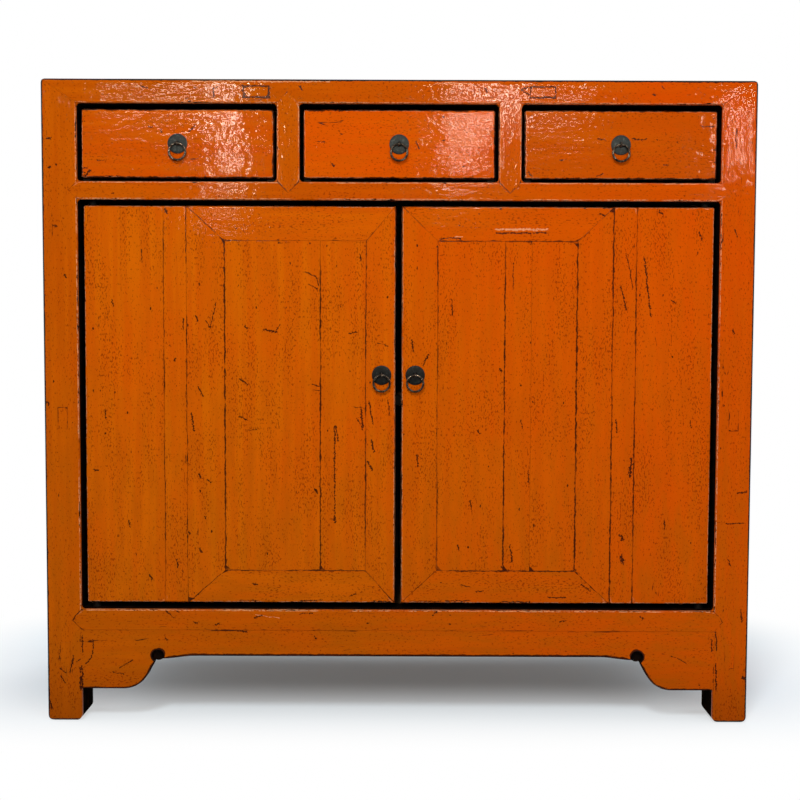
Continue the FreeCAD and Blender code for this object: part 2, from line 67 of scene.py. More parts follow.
# Joinery that the boxes of the nodes don't give
point_depth = 15 * mm
point_end = 0.1 * mm
door_top_rail_height = 49 * mm
door_bottom_rail_height = 47 * mm
door_batten_height = 40 * mm
door_panel_thickness = 14 * mm
panel_split_shares = {"left": (0.322,), "right": (0.482, 0.673)}
narrow_plank_width = {"left": 32 * mm, "right": 32.5 * mm}
side_middle_rail = (416 * mm, 452 * mm)
side_bottom_rail_height = 40 * mm
side_tenon_width = 14 * mm
side_tenon_inset = 26.5 * mm
side_tenon_shoulder = 2.5 * mm
panel_groove = 7 * mm
batten_width = 36 * mm
batten_tenon_height = 16 * mm
tenon_show_depth = 12 * mm
tenon_paint_depth = 0.3 * mm
drawer_side_thickness = 11 * mm
drawer_lap = 12 * mm
drawer_front_kept = 4 * mm
rebate_step = 0.05 * mm
pivot_radius = 6 * mm
pivot_inset = 11 * mm

# Strength of the dark line along a joint, from none at 0 to an unbroken line at 1
plain_seam = 0.3
frame_seam = 0.26
side_tenon_seam = 0.34
batten_tenon_seam = 0.55
post_seams = (0.75, 0.4, 0, 0)
waist_seams = (0.36, 0.32, 0, 0)
sill_seams = (0.6, 0.4, 0.34, 0)
mitre_seam = 0.40
rail_seam = 0.46
drawer_seam = 0.8
apron_seam = 0.95
door_seams = {"left": (0.40, 0.46, 0.48, 0.37, 0.37), "right": (0.40, 0.47, 0.25, 0.52, 0.47, 0.42)}

# Rounding of the arrises
outer_round = 4.5 * mm
least_worn_round = 1.4 * mm
fully_worn_round = 4.4 * mm
opening_round = 2 * mm
leaf_round = 2.5 * mm
foot_round = 5.5 * mm
seam_round = 0.15 * mm
wood_round = 1.2 * mm
corner_round = 8 * mm
corner_lines = np.array([1.5, 3.0, 4.5, 6.0, 7.5, 9.5]) * mm
leaf_corner = 3 * mm
foot_corner = 11 * mm
foot_back_round = 16 * mm
foot_lines = np.linspace(1.5, 16, 9) * mm
opening_fill = 6 * mm
frame_paint_depth = 3.2 * mm
leaf_paint_depth = 2.2 * mm
paint_edge = 1.2 * mm

# Lattice of the boards and their hand-made unevenness
show_step = 7 * mm
panel_step = 2 * show_step
top_step = 1.5 * show_step
inside_step = 16 * mm
tenon_step = 4 * mm
board_lap = 1 * mm
wave_height = 0.22 * mm
rail_wave = 0.5 * wave_height
post_wave = 0.2 * wave_height
wave_lengths = (300 * mm, 30 * mm)
nick_lengths = (120 * mm, 20 * mm)
nick_gain, nick_floor = 2.6, 1.2
arris_loss = 0.7 * mm
leg_sink = 0.25 * mm

# Ring pulls
plate_radius = 13.8 * mm
plate_hole = 1.9 * mm
plate_thickness = 1.45 * mm
ring_radius = 11.5 * mm
ring_wire = 1.55 * mm
thickest_ring_wire = 1.6 * mm
eye_drop = 3.5 * mm
eye_radius = 3.0 * mm
eye_wire = 0.85 * mm
pin_strand = 0.8 * mm
pin_foot = 10 * mm
pin_bend = 2.2 * mm
pin_neck = 1.5 * mm
outline_waver = 0.02
dome_waver = 0.12
wire_waver = 0.10
wire_taper = 0.05


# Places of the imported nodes

def limits(node):
    """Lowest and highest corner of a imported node, as arrays."""
    low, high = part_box(node)
    return np.array(low), np.array(high)


def limits_within(node, **spans):
    """Box of a node with the spans along some axes set anew."""
    low, high = limits(node)
    for axis, (near, far) in spans.items():
        low[axis_number[axis]] = near
        high[axis_number[axis]] = far
    return low, high


def from_left(side, outer, inner):
    """An outer and an inner value of one side of the cabinet, in order of growing x."""
    return (outer, inner) if side == "left" else (inner, outer)


leg_low, leg_high = limits("leg_front_right")
half_width = leg_high[0]
inner_x = leg_low[0]
front_y = leg_low[1]
inner_y = -leg_high[1]
rear_y = limits("leg_rear_right")[1][1]
top_low, top_high = (corner[2] for corner in limits("top_rail_front"))
waist_low, waist_high = (corner[2] for corner in limits("middle_rail_front"))
sill_low, sill_top = (corner[2] for corner in limits("bottom_rail_front"))
top_height = top_high - top_low
leg_width = half_width - inner_x
leg_depth = rear_y - inner_y
drawer_y = limits("drawer_middle_front")[0][1]
door_y = limits("door_left_panel")[0][1]

camera_turn = Matrix.Rotation(math.pi / 2 - camera_pitch, 3, "X") @ Matrix.Rotation(camera_roll, 3, "Z")


def on_front(pixel_x, pixel_y, depth):
    """Point of an upright plane at y = depth that the picture shows at a pixel; its own y is left at 0."""
    middle = picture_pixels / 2
    ray = camera_turn @ Vector((pixel_x - middle, middle - pixel_y, -focal_pixels))
    start = Vector(camera_place)
    point = start + ray * ((depth - start.y) / ray.y)
    return Vector((point.x, 0.0, point.z))


def srgb(red, green, blue):
    """Linear colour from screen values of 0 to 255."""
    share = np.array([red, green, blue]) / 255
    linear = np.where(share <= 0.04045, share / 12.92, ((share + 0.055) / 1.055) ** 2.4)
    return (*linear, 1.0)


# Places between which the lacquer turns red to the right, darker low down as painted shade, and darker
# still at the floor as painted shade with denser specks
red_from, red_full = -300 * mm, 550 * mm
low_shade_from, low_shade_full = 700 * mm, 20 * mm
floor_dirt_and_shade_height = 110 * mm


# Node trees

class Value:
    """One output of a shader node. Sums and products of such values add the nodes that work them out."""

    def __init__(self, web, socket):
        self.web = web
        self.socket = socket

    def __add__(self, other):
        return self.web.maths("ADD", self, other)

    def __sub__(self, other):
        return self.web.maths("SUBTRACT", self, other)

    def __rsub__(self, other):
        return self.web.maths("SUBTRACT", other, self)

    def __mul__(self, other):
        return self.web.maths("MULTIPLY", self, other)

    def __truediv__(self, other):
        return self.web.maths("DIVIDE", self, other)


class Web:
    """A shader node tree with short calls that add nodes and join them."""

    def __init__(self, tree):
        self.tree = tree

    def put(self, socket, value):
        """Join a socket, or set its own value."""
        if isinstance(value, Value):
            self.tree.links.new(value.socket, socket)
        elif value is not None:
            socket.default_value = value

    def outputs(self, kind, *values, **settings):
        """New node with its first inputs filled in order; gives its outputs."""
        made = self.tree.nodes.new("ShaderNode" + kind)
        for key, value in settings.items():
            setattr(made, key, value)
        for socket, value in zip(made.inputs, values):
            self.put(socket, value)
        return [Value(self, socket) for socket in made.outputs]

    def add(self, kind, *values, out=0, **settings):
        """One output of a new node."""
        return self.outputs(kind, *values, **settings)[out]

    def place(self):
        """Coordinates of the piece itself."""
        return self.add("TexCoord", out=3)

    def grain(self):
        """Map coordinates along and across the grain."""
        return self.add("UVMap", uv_map="grain")

    def field(self, label):
        """Value kept at the points of a piece."""
        return self.add("Attribute", attribute_name=label, out=2)

    def maths(self, operation, first, second=None, clamp=False):
        return self.add("Math", first, second, operation=operation, use_clamp=clamp)

    def greatest(self, *values):
        return functools.reduce(lambda first, second: self.maths("MAXIMUM", first, second), values)

    def vector(self, operation, first, second=None, out=0):
        return self.add("VectorMath", first, second, operation=operation, out=out)

    def scaled(self, vector, factor):
        return self.add("VectorMath", vector, None, None, factor, operation="SCALE")

    def stretch(self, vector, along, across):
        """Grain coordinates scaled to so many features a metre along and across."""
        return self.vector("MULTIPLY", vector, (along, across, 1.0))

    def noise(self, vector, scale, detail=2.0, roughness=0.5, dimensions="3D", out=0):
        return self.add(
            "TexNoise", vector, None, scale, detail, roughness, noise_dimensions=dimensions, out=out
        )

    def grained(self, vector, along, across, detail=2.0, roughness=0.5, dimensions="2D"):
        """Noise with so many features a metre along and across the grain."""
        return self.noise(self.stretch(vector, along, across), 1.0, detail, roughness, dimensions)

    def step(self, value, low, high):
        """Smooth rise from 0 at low to 1 at high, or a fall where low is above high."""
        return self.add("MapRange", value, low, high, 0.0, 1.0, interpolation_type="SMOOTHSTEP")

    def blend(self, share, first, second):
        """Colour between two others."""
        skipped = (None,) * 5
        return self.add("Mix", share, *skipped, first, second, out=2, data_type="RGBA")

    def use(self, group, **inputs):
        """Place a node group and give its output, or all of them where it has several."""
        made = self.tree.nodes.new("ShaderNodeGroup")
        made.node_tree = group
        for key, value in inputs.items():
            self.put(made.inputs[key], value)
        found = [Value(self, socket) for socket in made.outputs]
        return found[0] if len(found) == 1 else found


vector_labels = ("Grain", "Place", "Start", "Run")
colour_labels = ("Orange", "Yellow", "Red", "Dull", "Grime", "Colour")


def new_group(name, inputs, outputs):
    """Empty node group with named sockets; gives its web, its outer end and the values that enter it."""
    group = bpy.data.node_groups.new(name, "ShaderNodeTree")
    for way, labels in (("INPUT", inputs), ("OUTPUT", outputs)):
        for label in labels.split():
            kind = "Vector" if label in vector_labels else "Color" if label in colour_labels else "Float"
            group.interface.new_socket(label, in_out=way, socket_type="NodeSocket" + kind)
    web = Web(group)
    entry = group.nodes.new("NodeGroupInput").outputs
    leave = group.nodes.new("NodeGroupOutput").inputs
    return web, leave, *(Value(web, entry[label]) for label in inputs.split())


def tone_group():
    """Orange that turns yellow in streaks along the grain, red in clouds and to the right, and darker low
    down and at the floor as painted shade."""
    web, leave, grain, place, orange, yellow, red, mottle_shade, floor_shade_colour, streaks = new_group(
        "lacquer_tone", "Grain Place Orange Yellow Red Dull Grime Streaks", "Colour"
    )
    streak = web.step(web.grained(grain, 3.0, 75.0, 3.0, 0.6), 0.40, 0.66) * streaks
    colour = web.blend(streak, orange, yellow)
    across, _, height = web.outputs("SeparateXYZ", place)
    cloud = web.step(web.noise(place, 5.0, 3.0, 0.6), 0.42, 0.68)
    rightward = web.step(across, red_from, red_full)
    colour = web.blend(cloud * 0.25 + rightward * 0.6, colour, red)
    # painted shade: the lacquer darkens low down, where less light falls, and more at the floor
    low_shade_share = web.step(height, low_shade_from, low_shade_full) * 0.45
    mottle = web.step(web.grained(grain, 14.0, 60.0, 4.0, 0.65), 0.35, 0.7)
    colour = web.blend(mottle * 0.14 + low_shade_share * (mottle * 0.4 + 0.75), colour, mottle_shade)
    floor_shade_share = web.step(height, floor_dirt_and_shade_height, 0.0) * 0.5
    web.put(leave["Colour"], web.blend(floor_shade_share, colour, floor_shade_colour))
    return web.tree


def speck_group():
    """Fine dark specks, drawn out along the grain and gathered in patches."""
    web, leave, grain, amount = new_group("specks", "Grain Amount", "Mask")
    fine = web.grained(grain, 240.0, 480.0, 2.0, 0.6)
    patch = web.step(web.grained(grain, 7.0, 32.0, 3.0, 0.65), 0.38, 0.66)
    web.put(leave["Mask"], web.step(fine + patch * 0.10 * amount, 0.645, 0.72))
    return web.tree


def pit_group():
    """Scattered ragged pits: spots round the points of a stretched cell pattern, in some cells only."""
    web, leave, grain, amount, size = new_group("pits", "Grain Amount Size", "Mask")
    ragged = web.grained(grain, 260.0, 420.0)
    stretched = web.stretch(grain, 34.0, 62.0)
    distance, colour = web.outputs("TexVoronoi", stretched, None, 1.0, voronoi_dimensions="2D")[:2]
    choice, spread, _ = web.outputs("SeparateColor", colour)
    chosen = web.maths("LESS_THAN", choice, amount)
    reach = size * (spread * 0.8 + 0.3)
    spot = web.step(reach - (distance + (ragged * 0.16 - 0.08)), 0.0, 0.03)
    web.put(leave["Mask"], spot * chosen)
    return web.tree


def scar_group():
    """Broken dark hair lines along the grain: where a long drawn-out noise crosses its middle."""
    web, leave, grain, amount = new_group("scars", "Grain Amount", "Mask")
    field = web.grained(grain, 2.6, 30.0, 3.0, 0.6)
    line = web.step(web.maths("ABSOLUTE", field - 0.5), 0.012, 0.003)
    breaks = web.grained(grain, 16.0, 24.0, 4.0, 0.7)
    web.put(leave["Mask"], line * web.step(breaks + amount, 0.62, 0.70))
    return web.tree


def seam_group():
    """Broken dark line along a board's edges, from the distance to the edge and the seam's strength."""
    web, leave, grain, edge, width, strength = new_group("seam_line", "Grain Edge Width Strength", "Mask")
    ragged = web.grained(grain, 75.0, 75.0, 3.0, 0.7)
    width = web.greatest(width * (ragged * 3.4 - 1.0), 0.02 * mm) * (strength * 2.2 + 0.2)
    line = web.step(edge / width, 1.25, 0.6)
    breaks = web.grained(grain, 9.0, 9.0, 4.0, 0.7)
    web.put(leave["Mask"], line * web.step(breaks + strength, 0.82, 0.95))
    return web.tree


def wear_and_highlight_group():
    """Rubbed arrises: dark on the turn of an arris, a painted highlight as a pale broken line beside it,
    black paint inside.
    """
    web, leave, grain, arris, edge, rim, dark = new_group(
        "worn_arris_and_highlight", "Grain Arris Edge Rim Dark", "Black Pale"
    )
    ragged = web.grained(grain, 90.0, 160.0, 3.0, 0.65)
    slow = web.grained(grain, 12.0, 12.0, 4.0, 0.7)
    broken = web.grained(grain, 80.0, 260.0, 3.0, 0.7)
    turned = arris * 1.8 + (ragged * 0.9 + slow * 0.8)
    rubbed = web.step(turned, 1.08, 1.30) * web.step(arris, 0.02, 0.12)
    black = web.step(ragged * 0.5 + dark, 0.78, 0.98)
    bite = broken * (11.0 * mm) + slow * (7.0 * mm) - (edge + 9.3 * mm)
    bite = web.step(bite, 0.0, 0.5 * mm) * rim
    web.put(leave["Black"], web.greatest(rubbed, black, bite))
    # painted highlight: a pale broken line beside the arris, where a rounded edge catches the light
    offset = ragged * (2.0 * mm) + (0.3 * mm - edge)
    beside = web.step(web.maths("ABSOLUTE", offset), 1.0 * mm, 0.4 * mm) * rim
    dotted = web.step(web.grained(grain, 300.0, 300.0), 0.38, 0.52)
    web.put(leave["Pale"], beside * web.step(slow, 0.36, 0.52) * dotted)
    return web.tree


def ripple_group():
    """Height of brushed lacquer: dabs and long brush lines along the grain over a slow, uneven flow."""
    web, leave, grain = new_group("brushed_ripple", "Grain", "Height")
    dabs = web.grained(grain, 95.0, 185.0, 1.5, 0.45)
    lines = web.grained(grain, 20.0, 240.0, 1.0, 0.45)
    flow = web.grained(grain, 30.0, 50.0)
    web.put(leave["Height"], dabs + lines * 0.55 + flow * 2.0)
    return web.tree


def stroke_group():
    """One scratch or chip: the points of the front within a ragged width of a straight line."""
    web, leave, place, start, run, shortening, width, ragged = new_group(
        "stroke", "Place Start Run Shortening Width Ragged", "Mask"
    )
    offset = web.vector("SUBTRACT", web.vector("MULTIPLY", place, (1.0, 0.0, 1.0)), start)
    share = web.maths("MULTIPLY", web.vector("DOT_PRODUCT", offset, run, out=1), shortening, clamp=True)
    distance = web.vector("LENGTH", web.vector("SUBTRACT", offset, web.scaled(run, share)), out=1)
    width = width * (ragged * 7.5 - 2.4)
    web.put(leave["Mask"], web.step(width - distance, -0.2 * mm, 0.3 * mm))
    return web.tree


tone, specks, pits, scars = tone_group(), speck_group(), pit_group(), scar_group()
seam_line, worn_arris_and_highlight, brushed_ripple, stroke = seam_group(), wear_and_highlight_group(), ripple_group(), stroke_group()


# Materials

streak_yellow = srgb(200, 94, 3)
# Brown of the mottle and of the painted shade low down, and darker brown of the painted shade at the floor
mottle_and_shade_brown = srgb(156, 77, 5)
floor_shade_brown = srgb(126, 55, 4)
speck_brown = srgb(96, 24, 2)
# Pale of chipped lacquer and of the painted highlights along the arrises and on a dent
chip_and_highlight_pale = srgb(234, 172, 124)
hollow_dark = srgb(38, 9, 4)
worn_black = srgb(22, 13, 9)
thick_paint = srgb(17, 10, 7)
thin_paint = srgb(38, 20, 10)
wood_stain = srgb(70, 44, 26)
joint_dirt = srgb(30, 18, 11)
# Black of the painted shade on the inside near the front, from where it begins to where it is full
front_shade_black = srgb(14, 9, 7)
front_shade_black_from = -135 * mm
front_shade_black_full = -160 * mm
seam_width = 1.2 * mm
stroke_wander = 5 * mm
pit_size = 0.075
lacquer_specular = 0.15


def new_material(name):
    """Empty material; gives it, its web and its main shader's inputs."""
    material = bpy.data.materials.new(name)
    material.use_nodes = True
    return material, Web(material.node_tree), material.node_tree.nodes["Principled BSDF"].inputs


def cover(web, shader, colour, rough, relief, height):
    """Join colour, roughness and a bump of some relief to a main shader."""
    web.put(shader["Base Color"], colour)
    web.put(shader["Roughness"], rough)
    bump = web.add("Bump", 1.0, relief)
    web.put(bump.socket.node.inputs["Height"], height)
    web.put(shader["Normal"], bump)


def strokes(web, place, ragged, lines, depth):
    """Greatest of the masks of some lines, each given by its ends in picture pixels and its half width."""
    masks = []
    for start_x, start_y, stop_x, stop_y, half in lines:
        start = on_front(start_x, start_y, depth)
        run = on_front(stop_x, stop_y, depth) - start
        masks.append(web.use(stroke, Place=place, Start=start, Run=run, Shortening=1 / run.length_squared,
                             Width=half * mm, Ragged=ragged))
    return web.greatest(0.0, *masks)


def lacquer(name, finish, cuts=(), chips_and_highlights=()):
    """Old orange lacquer: uneven tone darkened low down as painted shade, specks, pits, scars, dark seams,
    worn arrises with a painted highlight line beside them, and a brushed gloss.

    The gloss turns rough wherever the lacquer is damaged or lies level, as on top. Cuts are dark scratches
    and the pale strokes chipped places, one of them a painted highlight on a dent."""
    material, web, shader = new_material(name)
    grain, place = web.grain(), web.place()
    labels = ("edge", "seam", "arris", "rim", "dark", "level")
    edge, strength, arris, rim, dark, level = map(web.field, labels)
    colour = web.use(
        tone, Grain=grain, Place=place, Orange=finish["orange"], Yellow=streak_yellow, Red=finish["red"],
        Dull=mottle_and_shade_brown, Grime=floor_shade_brown, Streaks=finish["streaks"],
    )
    height = web.outputs("SeparateXYZ", place)[2]
    dirt = web.step(height, floor_dirt_and_shade_height, 0.0) * 0.9 + finish["speckling"]
    speck = web.use(specks, Grain=grain, Amount=dirt)
    pit = web.use(pits, Grain=grain, Amount=0.12 * finish["speckling"], Size=pit_size)
    scar = web.use(scars, Grain=grain, Amount=finish["scarring"])
    seam = web.use(seam_line, Grain=grain, Edge=edge, Width=seam_width, Strength=strength)
    hollow = web.greatest(pit, scar, seam)
    black, pale = web.use(worn_arris_and_highlight, Grain=grain, Arris=arris, Edge=edge, Rim=rim, Dark=dark)
    if cuts or chips_and_highlights:
        ragged = web.noise(place, 420.0, 2.0, 0.6)
        wander = web.vector("SUBTRACT", web.noise(place, 150.0, out=1), (0.5, 0.5, 0.5))
        bent = web.vector("ADD", place, web.scaled(wander, stroke_wander))
        hollow = web.greatest(hollow, strokes(web, bent, ragged, cuts, finish["depth"]))
        pale = web.greatest(pale, strokes(web, bent, ragged, chips_and_highlights, finish["depth"]))

    colour = web.blend(speck * 0.62, colour, speck_brown)
    colour = web.blend(pale * 0.55, colour, chip_and_highlight_pale)
    colour = web.blend(hollow * 0.9, colour, hollow_dark)
    colour = web.blend(black, colour, worn_black)
    rough = web.greatest(hollow, black) * 0.19 + 0.03 + level * 0.36
    relief = web.use(brushed_ripple, Grain=grain) - (hollow * 0.2 + speck * 0.08)
    cover(web, shader, colour, rough, finish["ripple"], relief)
    shader["Specular IOR Level"].default_value = lacquer_specular
    return material


def dark_paint(name):
    """Flat brown-black paint of the sides inside the openings, brushed thin in places."""
    material, web, shader = new_material(name)
    thin = web.step(web.noise(web.place(), 60.0, 4.0, 0.65), 0.45, 0.75)
    colour = web.blend(thin, thick_paint, thin_paint)
    cover(web, shader, colour, thin * 0.15 + 0.7, 0.1 * mm, thin)
    shader["Specular IOR Level"].default_value = 0.0
    return material


def bare_wood(name, mapped, light, deep):
    """Unfinished wood with growth lines, blackened near the front of the cabinet as painted shade for the
    inside seen through the gaps.

    Coordinates come from the grain map or from the piece itself."""
    material, web, shader = new_material(name)
    place = web.place()
    grain, dimensions = (web.grain(), "2D") if mapped else (place, "3D")
    figure = web.grained(grain, 3.0, 34.0, 3.0, 0.6, dimensions)
    lines = web.maths("ABSOLUTE", web.maths("FRACT", figure * 9.0) - 0.5)
    lines = web.step(lines, 0.05, 0.45)
    fibre = web.grained(grain, 30.0, 700.0, 2.0, 0.6, dimensions)
    stain = web.step(web.noise(grain, 9.0, 4.0, 0.65, dimensions), 0.4, 0.75)
    colour = web.blend(lines * 0.45 + fibre * 0.5, light, deep)
    colour = web.blend(stain * 0.55, colour, wood_stain)
    if mapped:
        ragged = web.grained(grain, 60.0, 60.0, 3.0, 0.6)
        joint = web.step(ragged * (-1.6 * mm) + web.field("edge"), 0.9 * mm, 0.1 * mm)
        colour = web.blend(joint * 0.85, colour, joint_dirt)
    # painted shade: black towards the front, where the inside shows through the gaps
    painted = web.step(web.outputs("SeparateXYZ", place)[1], front_shade_black_from, front_shade_black_full)
    colour = web.blend(painted, colour, front_shade_black)
    cover(web, shader, colour, fibre * 0.2 + 0.55, 0.12 * mm, fibre + lines)
    return material


def iron(name, dark, worn, wear_low, wear_high, metal, rough):
    """Forged iron: blue-black scale with brighter rubbed places and shallow hammer marks."""
    material, web, shader = new_material(name)
    place = web.place()
    rub = web.step(web.noise(place, 260.0, 4.0, 0.65), wear_low, wear_high)
    dents = web.noise(place, 420.0, 3.0, 0.6)
    cover(web, shader, web.blend(rub, dark, worn), rub * -0.12 + rough, 0.12 * mm, dents)
    shader["Metallic"].default_value = metal
    return material


finish_labels = ("orange", "red", "streaks", "speckling", "scarring", "ripple", "depth")
finishes = {
    label: dict(zip(finish_labels, values))
    for label, *values in (
        ("frame", srgb(179, 75, 2), srgb(206, 67, 1), 0.35, 0.5, 0.0, 0.17 * mm, front_y),
        ("left_drawer", srgb(194, 75, 2), srgb(206, 67, 1), 0.4, 0.55, 0.0, 0.18 * mm, drawer_y),
        ("middle_drawer", srgb(205, 78, 2), srgb(208, 67, 1), 0.4, 0.55, 0.0, 0.18 * mm, drawer_y),
        ("right_drawer", srgb(186, 74, 2), srgb(188, 69, 2), 0.4, 0.6, 0.0, 0.18 * mm, drawer_y),
        ("left_door", srgb(193, 83, 3), srgb(208, 67, 1), 0.75, 1.0, -0.04, 0.14 * mm, door_y),
        ("right_door", srgb(192, 82, 2), srgb(205, 68, 1), 0.55, 0.95, -0.04, 0.14 * mm, door_y),
    )
}
plain_lacquer = {label: lacquer(f"{label}_lacquer", finish) for label, finish in finishes.items()}

